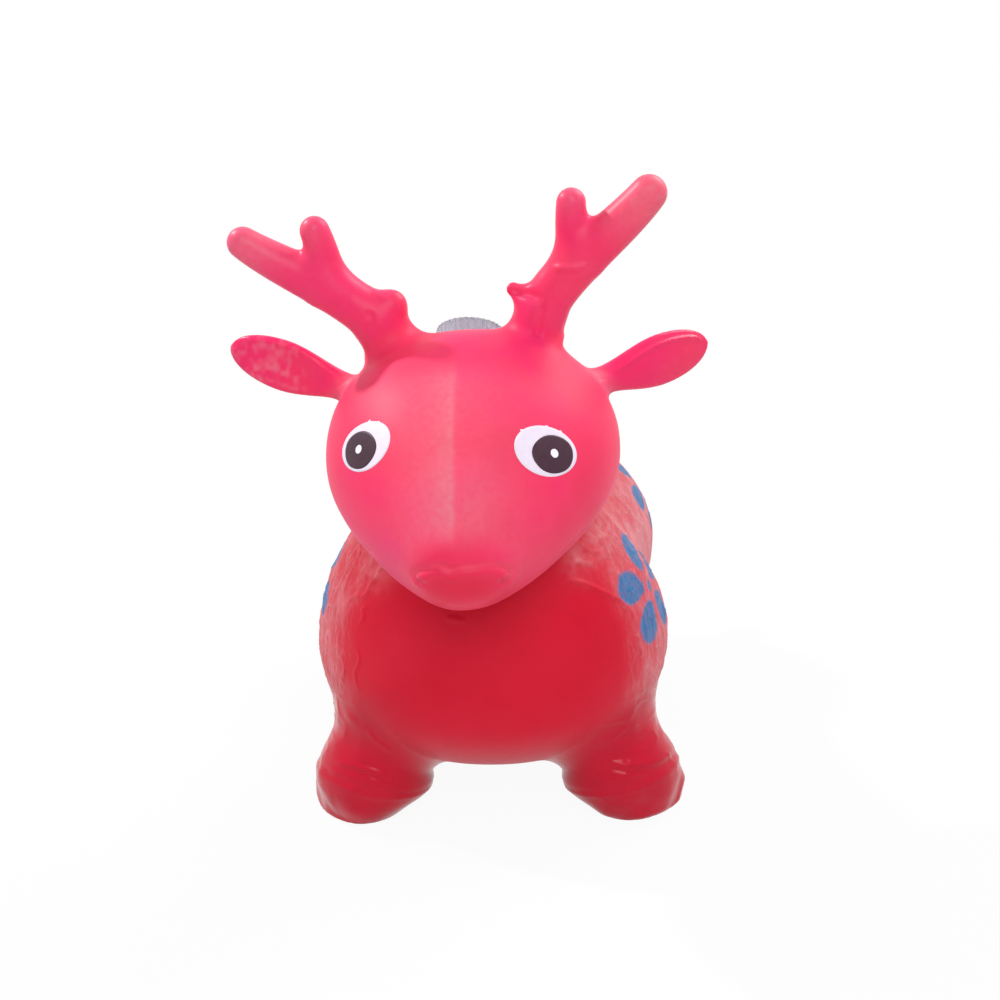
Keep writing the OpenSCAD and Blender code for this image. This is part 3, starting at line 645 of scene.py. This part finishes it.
def lower_relief(near, p, tree):
    """Heights and shares of colour on the torso, legs and tail."""
    # Where the legs, the neck, the flanks, the coat and the creased places are
    torso, head = near["torso"], near["head"]
    legs = np.min([near[name] for name in LEGS], axis=0)
    off_legs = ease((legs - 4) / 14)
    near_neck = np.exp(-((head - torso) / 16) ** 2) * ease((18 - head) / 12)
    flank = ease((np.abs(p[:, 0]) - 70) / 55)
    coat = outside_bib(p) * off_legs * (0.35 + 0.65 * flank)
    folds_and_sheen = np.max([spot_at(p, place, reach) for place, reach in FOLDS_AND_SHEEN], axis=0)

    # Streaks and waves on the coat, folds round the neck, and lines
    warp = wander(p, 28, 11)
    streak = creased(noise((p + 6 * warp) / [8, 8, 34], 1, 14))
    wave = noise((p + 8 * warp) / [14, 14, 40], 1, 15)
    fold = creased(noise((p + 6 * warp) / [16, 16, 8], 1, 18))
    height = 0.5 * noise(p, 70, 16) + 0.16 * noise(p, 24, 17) + coat * (0.5 * streak + 0.25 * wave - 0.15)
    height += near_neck * (1.5 * fold - 0.3) + folds_and_sheen * (1.5 * fold + 0.5 * streak - 0.4)
    for tall, wide, path in BODY_LINES:
        height += tall * line(p, snap(tree, smooth_path(path, 5)), wide)
    # The thin wrinkles, kept also as a mask for their painted highlight
    wrinkle_highlight = np.zeros(len(p))
    for tall, wide, path in hair_lines():
        mark = tall * line(p, snap(tree, smooth_path(path, 3)), wide) * off_legs
        height += mark
        wrinkle_highlight = np.maximum(wrinkle_highlight, mark)

    # Lumps on the outer sides of the soles and the legs
    outer = ease((np.abs(p[:, 0]) - 76) / 20)
    sole = outer * ease((34 - p[:, 2]) / 20) * ease(p[:, 2] / 5)
    height += sole * (1.9 * noise(p, 17, 19) + 0.8 * creased(noise(p, 22, 20)))
    shank = outer * ease((p[:, 2] - 20) / 20) * (1 - off_legs)
    height += shank * (0.7 * noise(p, 15, 24) + 0.6 * creased(noise(p / [1.6, 1.6, 0.6], 15, 25)))

    # Colours
    low = ease((100 - p[:, 2]) / 50) * off_legs
    rear = ease((p[:, 1] + 60) / 120)
    mist = 0.6 + 0.4 * noise(p / [1, 1, 2.5], 9, 21)
    # Paler coat: a whitish film, with painted sheen on the flanks, painted light on the rump and painted
    # highlights on the streaks
    bloom_and_sheen = coat * ((0.26 + 0.32 * flank + 0.95 * rear) * mist + 0.4 * streak) + 0.2 * wrinkle_highlight
    # Paler at the neck's folds as painted sheen, and paler towards the bottom as painted light from the floor
    bloom_and_sheen += (0.35 + 0.3 * noise(p, 6, 26)) * near_neck + 0.22 * low * (1 - 0.4 * flank)
    # The creased places beside the neck are paler, as painted sheen
    bloom_and_sheen += folds_and_sheen * (0.45 + 0.35 * noise(p, 5, 27) + 0.3 * fold)
    # Pinker at the neck, and darker towards the bottom
    tint = 0.15 * off_legs + 0.06 * noise(p, 55, 22) + 0.15 * near_neck - 0.12 * low
    return height, dict(tint=tint, bloom_and_sheen=bloom_and_sheen, coat=coat, gloss=1 - off_legs, petal=petals(p, tree))


# Ridge of the muzzle, which curls round both nostrils
MUZZLE_RIDGE = [(-15, -279, 240.5), (-18, -277, 239.5), (-20.5, -275.5, 242.5), (-14.3, -280.4, 247.6),
                (-2.4, -285.4, 251.8), (5, -286, 249.4), (13.8, -285.5, 251.2), (29.2, -280.4, 251),
                (38.9, -271.9, 246), (41.5, -266.4, 239.8), (38.5, -271, 237), (35, -274, 238.5)]
NOSTRILS = [(-14, -279.5, 243.5), (34.5, -275, 242)]
# Offset of the parting from the head's own middle at its start and its end, along the head
PARTING = [(20, -4.2), (140, -0.9)]
HEAD_LINES = [
    (0.8, 1.6, [(86, -150, 246), (82, -165, 238), (75, -180, 233)]),
    (0.7, 1.6, [(-64, -222, 250), (-58, -233, 248.4), (-52.5, -240.6, 247.8)]),
    (2.6, 3.0, [(31, -141, 406), (39.4, -145, 404.3), (46, -148, 403.2), (56.7, -154, 398.4)]),
    (2.2, 3.0, [(56.7, -154, 398.4), (54, -153, 389.4), (51.9, -152.5, 380.9), (49.7, -153, 372.8)]),
    (-1.6, 2.4, [(62.4, -151.6, 420.4), (72, -156, 420.7), (82, -157, 421), (88.3, -156.6, 424)]),
    (1.2, 2.4, [(-67.6, -154.3, 382.5), (-62.8, -155.4, 388), (-65, -155.3, 396.3)]),
]
# The fold along each ear: its distance below the upper edge, its depth, and the dish below it
EAR_FOLD = {"left": (6.5, 1.9, 0.0), "right": (4.6, 1.2, 1.4)}


def upper_relief(near, p, tree):
    """Heights and shares of colour on the head, ears and antlers."""
    # Where the neck, the ears and their roots, the antlers, the nose's pad, the face and its parting are
    x, s, h = head_coordinates(p)
    torso, head = near["torso"], near["head"]
    ears = np.minimum(near["ear_left"], near["ear_right"])
    antlers = np.minimum(near["antler_left"], near["antler_right"])
    bare = ease((np.minimum(ears, antlers) - 2) / 8)
    near_neck = np.exp(-((head - torso) / 14) ** 2) * ease((18 - torso) / 12)
    roots = np.exp(-((ears - head) / 9) ** 2) * ease((10 - ears) / 6)
    in_ear, on_antler = ease((head - ears - 6) / 11), ease((head - antlers - 6) / 10)
    pad = np.exp(-((x - 2) / 32) ** 4 - ((p[:, 2] - 231) / 17) ** 4) * ease((s - 100) / 25)
    face = bare * ease((s - 8) / 30) * ease((h + 14) / 12) * ease((142 - s) / 16)
    off = x - np.interp(s, *np.array(PARTING).T)
    parting = face * np.where(off < 0, np.exp(off / 17), np.exp(-off / 7))

    # Unevenness, folds, lines, the muzzle's ridge and the nostrils
    warp = wander(p, 26, 31)
    height = (0.7 * noise(p, 60, 34) + 0.2 * noise(p, 20, 35)) * bare + 1.7 * parting
    height += near_neck * 1.3 * creased(noise((p + 6 * warp) / [16, 16, 8], 1, 36))
    height += 0.6 * roots * creased(noise((p + 4 * warp) / [16, 6, 6], 1, 37))
    for tall, wide, path in HEAD_LINES:
        height += tall * line(p, snap(tree, smooth_path(path, 6)), wide)
    muzzle = snap(tree, smooth_path(MUZZLE_RIDGE))
    ridge = line(p, muzzle, 2.1, False)
    height += 1.9 * ridge - 1.1 * line(p, muzzle - [0, 0, 5], 3.4, False)
    height -= sum(1.6 * spot_at(p, place, 3.6) for place in NOSTRILS)

    # The fold along the front of each ear, and the dish below it
    ear_front = np.zeros(len(p))
    for side, (below, deep, dish) in EAR_FOLD.items():
        along, behind, above = ear_coordinates(p, side).T
        k = np.clip(along / EAR_LEN, 0, 1)
        front = ease((head - near[f"ear_{side}"] - 10) / 10) * (behind < 1.5 + EAR_CURL * k * k)
        ear_front = np.maximum(ear_front, front)
        under = ear_half(k) - above
        fold = deep * np.exp(-((under - below) / 1.5) ** 2) * ease(k / 0.3) * ease((0.97 - k) / 0.1)
        height -= front * (fold + dish * ease((under - below) / 4) * ease((2 * ear_half(k) - under) / 8))

    # Colours
    scuff = np.clip(0.7 * noise(p, 5, 38) + 0.6 * noise(p, 3, 39) + 0.15, 0, 1)
    scuff *= ear_front * ease((np.abs(p[:, 0]) - 108) / 24) * np.where(p[:, 0] < 0, 0.55, 0.05)
    reach = np.min([np.linalg.norm(p - joint_place(f"antler_{side}_flex"), axis=1) for side in SIDE], axis=0)
    tips = ease((reach - ANTLER_LEN + 60) / 50)
    # Paler at the neck's folds as painted sheen, and along the muzzle's ridge as a painted highlight
    bloom_and_sheen = (0.35 + 0.3 * noise(p, 6, 42)) * near_neck + 0.35 * roots + scuff + 0.12 * ridge
    bloom_and_sheen += on_antler * (0.05 + 0.05 * noise(p, 26, 40) + 0.4 * tips)
    # A painted sheen along one side of the parting
    bloom_and_sheen += 0.45 * parting * ease((1.5 - off) / 4)
    # A painted light down the middle of the face
    bloom_and_sheen += face * (0.2 + 0.12 * ease((s - 85) / 30)) * np.exp(-(x / 42) ** 2)
    # The nose's pad is darker, as painted shade where it faces down
    tint = 0.84 + 0.16 * noise(p, 42, 41) + 0.08 * noise(p, 17, 43) - 0.5 * near_neck - 0.4 * pad
    # The lower head is darker, as painted shade
    tint += 0.15 * np.maximum(in_ear, on_antler) - 0.35 * ease((-30 - h) / 30) * bare
    gloss = np.maximum(in_ear, 0.4 * on_antler) + 0.35 * pad
    return height, dict(tint=tint, bloom_and_sheen=bloom_and_sheen, coat=0 * x, gloss=gloss, petal=0 * x)


# Sprayed flowers: a middle dot with five petals, each given by its place and the turn of its first petal
FLOWERS = [((124, -96, 178), 0.35), ((-126, -72, 180), 1.0), ((112, 166, 192), 0.7), ((-112, 160, 192), 0.2)]
PETAL_AT, PETAL_LONG, PETAL_WIDE, DOT_R, SPRAY, FLOWER_R = 28.0, 16.0, 12.2, 4.5, 2.6, 70


def petals(p, tree):
    share = np.zeros(len(p))
    for place, first in FLOWERS:
        spot, normal = tree.find_nearest(Vector(place))[:2]
        u, v = along_skin(normal)
        q = p - np.array(spot)
        near = np.linalg.norm(q, axis=1) < FLOWER_R
        a, b = q[near] @ u, q[near] @ v
        best = np.hypot(a, b) - DOT_R
        for k in range(5):
            t = first + 2 * np.pi * k / 5
            along = a * cos(t) + b * sin(t) - PETAL_AT
            across = -a * sin(t) + b * cos(t)
            wide = PETAL_WIDE * (1 + 0.3 * np.clip(along / PETAL_LONG, -1, 1))
            best = np.minimum(best, (np.hypot(along / PETAL_LONG, across / wide) - 1) * PETAL_WIDE)
        edge = 0.8 * noise(p[near], 4, 51)
        share[near] = np.maximum(share[near], ease(0.5 - (best + edge) / SPRAY))
    return share


# Materials

def srgb(*colour):
    """A colour as it is seen, from 0 to 255, as the shader wants it."""
    shares = [c / 255 for c in colour]
    return (*(c / 12.92 if c <= 0.04045 else ((c + 0.055) / 1.055) ** 2.4 for c in shares), 1.0)


def put(tree, value, socket):
    """Sets a socket to a plain value, or links it to another socket."""
    if isinstance(value, (float, tuple)):
        socket.default_value = value
    else:
        tree.links.new(value, socket)


def calculate(tree, kind, a, b):
    n = tree.nodes.new("ShaderNodeMath")
    n.operation = kind
    put(tree, a, n.inputs[0])
    put(tree, b, n.inputs[1])
    return n.outputs[0]


class Shader:
    """Short names for making a material's nodes."""

    def __init__(self, name):
        self.material = bpy.data.materials.new(name)
        self.material.use_nodes = True
        self.tree = self.material.node_tree
        self.skin = self.tree.nodes["Principled BSDF"]

    def set(self, **values):
        for key, value in values.items():
            put(self.tree, value, self.skin.inputs[key.replace("_", " ")])

    def node(self, kind, **values):
        n = self.tree.nodes.new(kind)
        for key, value in values.items():
            if key in n.inputs:
                put(self.tree, value, n.inputs[key])
            else:
                setattr(n, key, value)
        return n

    def noise(self, scale, detail=3.0, stretch=None):
        place = self.node("ShaderNodeTexCoord").outputs["Object"]
        if stretch:
            place = self.node("ShaderNodeMapping", Scale=stretch, Vector=place).outputs["Vector"]
        return self.node("ShaderNodeTexNoise", Scale=scale, Detail=detail, Vector=place).outputs["Fac"]

    def ramp(self, value, low, high, a, b, kind="LINEAR"):
        ends = {"From Min": low, "From Max": high, "To Min": a, "To Max": b}
        return self.node("ShaderNodeMapRange", interpolation_type=kind, Value=value, **ends).outputs["Result"]

    def times(self, a, b):
        return calculate(self.tree, "MULTIPLY", a, b)

    def mix(self, share, a, b):
        n = self.node("ShaderNodeMix", data_type="RGBA", Factor=share)
        put(self.tree, a, n.inputs[6])
        put(self.tree, b, n.inputs[7])
        return n.outputs[2]

    def colours(self, value, stops):
        n = self.node("ShaderNodeValToRGB", Fac=value)
        while len(n.color_ramp.elements) < len(stops):
            n.color_ramp.elements.new(0.5)
        for element, (at, colour) in zip(n.color_ramp.elements, stops):
            element.position, element.color = at, colour
        return n.outputs["Color"]

    def attribute(self, name):
        return self.node("ShaderNodeAttribute", attribute_name=name).outputs["Fac"]

    def bump(self, height, strength, distance, **before):
        values = {"Height": height, "Strength": strength, "Distance": distance}
        return self.node("ShaderNodeBump", **values, **before).outputs["Normal"]


def skin_material():
    """Soft PVC: pink on the head, redder on the body, a whitish film, painted light and blue sprayed petals.
    """
    m = Shader("soft_pvc")
    coat = m.attribute("coat")
    m.set(Specular_IOR_Level=0.18, Sheen_Weight=0.05, Sheen_Roughness=0.4)
    mottle = m.noise(22.0, 4.0)
    fine = m.noise(240.0, 3.0)
    hair = m.noise(1.0, 3.0, (240.0, 240.0, 36.0))
    # From the legs' red through the body's red to the head's pink; the head's paler pink is partly painted
    # light from above
    colour = m.colours(m.attribute("tint"), [(0.0, srgb(192, 8, 44)), (0.15, srgb(208, 10, 44)),
                                             (0.85, srgb(243, 55, 99)), (1.0, srgb(242, 42, 106))])
    colour = m.mix(m.ramp(mottle, 0.35, 0.75, 0.0, 0.16), colour, srgb(222, 46, 70))
    # A whitish film: partly a real film on the PVC, partly painted sheen, painted highlights and painted
    # light
    dull_and_sheen = m.times(m.attribute("bloom_and_sheen"), m.ramp(fine, 0.25, 0.75, 0.6, 1.0))
    level = m.noise(1.0, 2.0, (115.0, 115.0, 42.0))
    wrinkle = m.colours(level, [(0.455, (0, 0, 0, 1)), (0.5, (1, 1, 1, 1)), (0.545, (0, 0, 0, 1))])
    wrinkle = m.times(wrinkle, coat)
    # The strands and the wrinkles on the coat are paler: painted highlights
    strands = m.times(coat, m.ramp(hair, 0.5, 0.68, 0.0, 0.16))
    colour = m.mix(strands, colour, srgb(226, 150, 158))
    colour = m.mix(m.times(dull_and_sheen, 0.76), colour, srgb(227, 158, 166))
    colour = m.mix(m.times(wrinkle, 0.2), colour, srgb(236, 172, 178))
    speckle = m.ramp(m.noise(330.0, 2.0), 0.3, 0.62, 0.82, 1.0)
    colour = m.mix(m.times(m.attribute("petal"), speckle), colour, srgb(52, 118, 172))
    normal = m.bump(m.times(hair, coat), 0.7, 0.002)
    normal = m.bump(wrinkle, 0.6, 0.0012, Normal=normal)
    normal = m.bump(m.noise(60.0, 4.0), 0.12, 0.002, Normal=normal)
    m.set(Base_Color=colour, Roughness=m.ramp(m.attribute("gloss"), 0.0, 1.0, 0.5, 0.2), Normal=normal)
    return m.material


def paint_material(name, colour, rough, stain):
    """Flat hand-sprayed paint with a faint unevenness."""
    m = Shader(name)
    colour = m.mix(m.ramp(m.noise(260.0), 0.3, 0.7, 0.0, 0.3), srgb(*colour), srgb(*stain))
    normal = m.bump(m.noise(420.0), 0.1, 0.0006)
    m.set(Base_Color=colour, Roughness=rough, Specular_IOR_Level=0.25, Normal=normal)
    return m.material


def plastic_material(name, colour, rough, shade, grain=300.0):
    m = Shader(name)
    colour = m.mix(m.ramp(m.noise(grain * 0.4), 0.3, 0.7, 0.0, 0.35), srgb(*colour), srgb(*shade))
    rough = m.ramp(m.noise(grain), 0.3, 0.7, rough - 0.06, rough + 0.08)
    normal = m.bump(m.noise(grain * 2), 0.08, 0.0003)
    m.set(Base_Color=colour, Roughness=rough, Specular_IOR_Level=0.5, Normal=normal)
    return m.material


def metal_material(name, colour, rough):
    m = Shader(name)
    colour = srgb(*colour)
    shade = (*(c * 0.7 for c in colour[:3]), 1.0)
    colour = m.mix(m.ramp(m.noise(600.0), 0.3, 0.7, 0.0, 0.4), colour, shade)
    m.set(Base_Color=colour, Roughness=m.ramp(m.noise(900.0), 0.3, 0.7, rough, rough + 0.2), Metallic=1.0)
    return m.material


def clear_material():
    """Clear moulded plastic with fine scuffs."""
    m = Shader("clear_plastic_cap")
    rough = m.ramp(m.noise(500.0), 0.45, 0.75, 0.05, 0.22)
    m.set(Transmission_Weight=0.64, IOR=1.4, Base_Color=srgb(212, 221, 231), Roughness=rough,
          Normal=m.bump(m.noise(220.0), 0.15, 0.0006))
    return m.material


SKIN = skin_material()
EYE_WHITE = paint_material("eye_white_paint", (240, 230, 246), 0.4, (222, 208, 232))
EYE_DARK = paint_material("eye_dark_paint", (62, 34, 48), 0.38, (84, 54, 70))
EYE_GLINT = paint_material("eye_glint_paint", (250, 246, 252), 0.35, (236, 228, 240))


# Pieces

def add_object(name, data):
    obj = bpy.data.objects.new(name, data)
    bpy.context.scene.collection.objects.link(obj)
    return obj


def make_mesh(name, points, faces, material):
    mesh = bpy.data.meshes.new(name)
    mesh.from_pydata((points * MM).tolist(), [], faces)
    mesh.polygons.foreach_set("use_smooth", np.ones(len(mesh.polygons), bool))
    mesh.materials.append(material)
    return add_object(name, mesh)


def skin_piece(node, points, quads, normals, shares):
    """One zone of the skin, with its neighbours' normals along its edge."""
    used, faces = np.unique(quads, return_inverse=True)
    obj = make_mesh(f"{node}_skin", points[used], faces.reshape(-1, 4).tolist(), SKIN)
    for key, value in shares.items():
        layer = obj.data.attributes.new(key, "FLOAT", "POINT")
        layer.data.foreach_set("value", np.clip(value[used], 0, 1).astype(np.float32))
    obj.data.normals_split_custom_set_from_vertices(normals[used].tolist())
    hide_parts(node)
    return obj, used


def skin(volume, d, relief):
    """The skin's points, faces and normals, with its relief, and its shares of colour."""
    points, quads = volume.surface(d)
    quads, normals = outward(points, quads, volume, d)
    tree = BVHTree.FromPolygons(points.tolist(), quads.tolist())
    near = {name: volume.sample(name, points) for name in volume.zones}
    height, shares = relief(near, points, tree)
    points = points + normals * height[:, None]
    points[:, 2] = np.maximum(points[:, 2], 0)
    return points, quads, vertex_normals(points, quads), shares


def zone_of(volume, points, quads, names):
    """The zone that each face is nearest to."""
    middle = points[quads].mean(1)
    return np.argmin([volume.sample(n, middle) for n in names], axis=0)


# How far the torso's skin runs on under the head, and how steeply it dives there
NECK_LAP, NECK_DIVE = 7, 0.35


def make_body():
    """The torso, the legs and the tail."""
    volume, d = lower_volume()
    points, quads, normals, shares = skin(volume, d, lower_relief)
    names = ["torso", *LEGS, "tail", "head"]
    zone = zone_of(volume, points, quads, names)
    past = volume.sample("torso", points) - volume.sample("head", points)
    zone[(zone == names.index("head")) & (past[quads].max(1) < NECK_LAP)] = names.index("torso")
    sunk = points - normals * (np.clip(past, 0, NECK_LAP) * NECK_DIVE)[:, None]
    for i, name in enumerate(names[:-1]):
        body = sunk if name == "torso" else points
        piece, _ = skin_piece(name, body, quads[zone == i], normals, shares)
        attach(piece, "skin")


def make_head():
    """The head, and the ears and antlers as separate pieces. Gives the head's surface for the eyes."""
    volume, d = upper_volume()
    points, quads, normals, shares = skin(volume, d, upper_relief)
    names = ["head", "ear_left", "ear_right", "antler_left", "antler_right", "torso"]
    zone = zone_of(volume, points, quads, names)
    head_quads = quads[zone == 0]
    piece, _ = skin_piece("head", points, head_quads, normals, shares)
    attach(piece, "skin")
    in_head = np.zeros(len(points), bool)
    in_head[head_quads] = True
    for i, name in enumerate(names[1:5], 1):
        piece, used = skin_piece(name, points, quads[zone == i], normals, shares)
        place = joint_place(f"{name}_flex")
        way = points[used].mean(0) - place
        way /= np.linalg.norm(way)
        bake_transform(piece)
    return BVHTree.FromPolygons(points.tolist(), head_quads.tolist())


make_body()
HEAD_TREE = make_head()

# Painted eyes: thin films that lie on the skin
EYE_AT = {"left": (62.8, -233.5, 312.2), "right": (-58.2, -228.4, 315.9)}
EYE_LONG, EYE_TALL, EYE_TILT = 23.2, 17.0, radians(14)
IRIS_LONG, IRIS_TALL, IRIS_DOWN = 16.0, 12.6, 2.8
IRIS_OUT = {"left": 3.4, "right": 2.2}
GLINT_R, GLINT_OUT, GLINT_UP = 2.9, 0.6, 0.2
# How much fuller the white is towards the nose, and the waves of the iris's edge
EYE_EGG, IRIS_WAVE, IRIS_WAVES = 0.09, 0.12, 5
# A film's thickness, its rings and their corners, its edge and how deep that lies, and where rays start
FILM, FILM_STEPS, FILM_SIDES, FILM_EDGE, FILM_SINK, FILM_ABOVE = 0.22, 13, 200, 1.012, -0.3, 30


def film(name, side, outline_at, layer, material):
    """A painted patch with a rounded edge, set down on the head."""
    spot, normal = HEAD_TREE.find_nearest(Vector(EYE_AT[side]))[:2]
    normal = normal if normal.dot(spot - Vector(HEAD_MID)) > 0 else -normal
    u, v = along_skin(normal)

    def lay(a, f, lift):
        x, y = outline_at(side, a, f)
        start = spot + u * x * SIDE[side] + v * y + normal * FILM_ABOVE
        hit, n = HEAD_TREE.ray_cast(start, -normal)[:2]
        return hit + (n if n.dot(normal) > 0 else -n) * lift

    rings = [(i / FILM_STEPS, FILM * layer) for i in range(1, FILM_STEPS + 1)] + [(FILM_EDGE, FILM_SINK)]
    points = [lay(a, *ring) for ring in rings for a in angles(FILM_SIDES)] + [lay(0.0, 0.0, FILM * layer)]
    pairs = [(j, (j + 1) % FILM_SIDES) for j in range(FILM_SIDES)]
    starts = [i * FILM_SIDES for i in range(FILM_STEPS)]
    faces = [[at + j, at + FILM_SIDES + j, at + FILM_SIDES + k, at + k] for at in starts for j, k in pairs]
    faces += [[len(points) - 1, j, k] for j, k in pairs]
    if side == "right":
        faces = [f[::-1] for f in faces]
    obj = make_mesh(name, np.array(points), faces, material)
    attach(obj, "skin")


# Small runs of paint on the upper edge of the white, as angle, height and width
RUNS = {"left": [(1.05, 1.2, 0.03), (1.5, 0.9, 0.03), (2.35, 1.3, 0.035)],
        "right": [(1.62, 1.5, 0.035), (2.0, 0.7, 0.03)]}


def white_outline(side, a, f):
    """An egg that is fuller towards the nose."""
    run = sum(tall * exp(-((a - at) / wide) ** 2) for at, tall, wide in RUNS[side]) * f ** 8
    across = (EYE_LONG * f + run) * cos(a)
    up = (EYE_TALL * (1 - EYE_EGG * cos(a)) * f + run) * sin(a)
    c, n = cos(EYE_TILT), sin(EYE_TILT)
    return across * c + up * n, up * c - across * n


def iris_outline(side, a, f):
    wavy = IRIS_WAVE * sin(IRIS_WAVES * a) * f
    across, up = (IRIS_LONG * f + wavy) * cos(a), (IRIS_TALL * f + wavy) * sin(a)
    return IRIS_OUT[side] + across, up - IRIS_DOWN


def glint_outline(side, a, f):
    across, up = GLINT_R * f * cos(a), GLINT_R * f * sin(a)
    return IRIS_OUT[side] + GLINT_OUT + across, up + GLINT_UP - IRIS_DOWN


for side in SIDE:
    film(f"eye_white_{side}", side, white_outline, 1, EYE_WHITE)
    film(f"eye_iris_{side}", side, iris_outline, 2, EYE_DARK)
    film(f"eye_glint_{side}", side, glint_outline, 3, EYE_GLINT)

# Finishes of the solids that show as they are
PLASTICS = {
    "module_pocket": ("pocket_pvc", (240, 52, 96), 0.48, (224, 46, 82)),
    "valve_collar": ("collar_pvc", (206, 16, 46), 0.48, (220, 46, 70)),
    "module_case": ("grey_white_plastic", (226, 222, 230), 0.35, (205, 200, 210)),
    "valve_plug": ("milky_plastic", (238, 234, 228), 0.4, (220, 214, 206)),
    "seal_ring": ("black_seal", (38, 38, 42), 0.6, (54, 54, 58)),
    "circuit_board": ("green_mask", (32, 98, 62), 0.3, (44, 118, 72), 700.0),
    "leds": ("milky_resin", (236, 232, 228), 0.15, (250, 240, 230)),
    "buzzer": ("black_case", (28, 28, 30), 0.45, (42, 42, 46)),
    "sound_chip": ("black_resin", (18, 18, 20), 0.25, (30, 30, 32)),
    "cell_tray": ("black_tray", (40, 40, 44), 0.5, (56, 56, 60)),
    "shake_switch_base": ("blue_base", (38, 66, 140), 0.4, (50, 82, 160)),
}
METALS = {
    "board_screws": ("screw_steel", (190, 190, 196), 0.25),
    "button_cells": ("cell_steel", (205, 205, 208), 0.18),
    "shake_spring": ("spring_steel", (200, 200, 204), 0.2),
    "contact_strips": ("strip_brass", (206, 190, 140), 0.25),
    "contact_leaves": ("leaf_brass", (212, 196, 146), 0.25),
}
FINISHES = {"lens_cap": clear_material()}
FINISHES |= {name: plastic_material(*look) for name, look in PLASTICS.items()}
FINISHES |= {name: metal_material(*look) for name, look in METALS.items()}
for name, material in FINISHES.items():
    obj = frame["nodes"][name]
    for mesh_obj in [obj, *obj.children_recursive]:
        if mesh_obj.type == "MESH":
            mesh_obj.data.materials.clear()
            mesh_obj.data.materials.append(material)


# Stage: a pale floor, soft light and the photograph's view

FLOOR_REACH, FLOOR_GREY, FLOOR_DROP, WORLD_LIGHT = 6.0, 0.74, 0.0005, 0.36
# Where the floor turns from its own colour to white, in metres, and its share of white there
FLOOR_FADE = 0.35, 1.1, 0.94, 1.0
# Lamps: place, aim and width in metres, and power in watts
LAMPS = {
    "key": ((-1.14, 0.175, 1.47), (0, -0.12, 0.3), 0.07, 18),
    "front": ((0.4, -1.9, 1.5), (0, -0.05, 0.22), 1.3, 23),
    "back": ((0.9, 0.55, 1.5), (0, 0.05, 0.25), 1.0, 17),
}


def bright_to_camera(tree, plain, white, share, output):
    """Shows white in place of a plain surface where the camera, glass or gloss sees it."""
    path = tree.nodes.new("ShaderNodeLightPath").outputs
    seen = calculate(tree, "MAXIMUM", path["Is Camera Ray"], path["Is Glossy Ray"])
    seen = calculate(tree, "MAXIMUM", seen, path["Is Transmission Ray"])
    mix = tree.nodes.new("ShaderNodeMixShader")
    seen = calculate(tree, "MULTIPLY", seen, share)
    for i, source in enumerate((seen, plain.outputs[0], white.outputs[0])):
        tree.links.new(source, mix.inputs[i])
    tree.links.new(mix.outputs[0], tree.nodes[output].inputs["Surface"])


def make_floor():
    corners = [(x * FLOOR_REACH, y * FLOOR_REACH, 0) for x, y in ((-1, -1), (1, -1), (1, 1), (-1, 1))]
    mesh = bpy.data.meshes.new("floor")
    mesh.from_pydata(corners, [], [(0, 1, 2, 3)])
    floor = add_object("floor", mesh)
    m = Shader("pale_floor")
    m.set(Base_Color=(FLOOR_GREY, FLOOR_GREY, FLOOR_GREY, 1), Roughness=0.9)
    white = m.node("ShaderNodeEmission", Strength=1.0)
    place = m.node("ShaderNodeTexCoord").outputs["Object"]
    away = m.node("ShaderNodeVectorMath", operation="LENGTH", Vector=place)
    fade = m.ramp(away.outputs["Value"], *FLOOR_FADE, "SMOOTHSTEP")
    bright_to_camera(m.tree, m.skin, white, fade, "Material Output")
    mesh.materials.append(m.material)
    floor.location.z = -FLOOR_DROP


def make_world():
    world = bpy.data.worlds.new("studio")
    bpy.context.scene.world = world
    world.use_nodes = True
    tree = world.node_tree
    plain, white = tree.nodes["Background"], tree.nodes.new("ShaderNodeBackground")
    for node, colour, strength in ((plain, (1.0, 0.98, 0.98, 1), WORLD_LIGHT), (white, (1, 1, 1, 1), 1.0)):
        node.inputs["Color"].default_value, node.inputs["Strength"].default_value = colour, strength
    bright_to_camera(tree, plain, white, 1.0, "World Output")


def make_lamps():
    for name, (place, aim, size, power) in LAMPS.items():
        data = bpy.data.lights.new(name, "AREA")
        data.shape, data.size, data.energy = "DISK", size, power
        lamp = add_object(name, data)
        lamp.location = place
        lamp.rotation_euler = (Vector(aim) - Vector(place)).to_track_quat("-Z", "Y").to_euler()


VIEW_AZ, VIEW_EL, VIEW_ROLL = 7, 14, 2.3
VIEW_FROM, VIEW_AT, LENS = 1.05, np.array([0.0065, -0.036, 0.2305]), 47.23


def make_camera():
    axes = turn("z", VIEW_AZ) @ turn("x", 90 - VIEW_EL) @ turn("z", -VIEW_ROLL)
    data = bpy.data.cameras.new("camera")
    data.sensor_width, data.lens = 36.0, LENS
    camera = add_object("camera", data)
    place = VIEW_AT + axes[:, 2] * VIEW_FROM
    camera.matrix_world = Matrix([[*axes[i], place[i]] for i in range(3)] + [[0, 0, 0, 1]])
    bpy.context.scene.camera = camera


make_floor()
make_world()
make_lamps()
make_camera()
bpy.context.scene.view_settings.view_transform = "Standard"
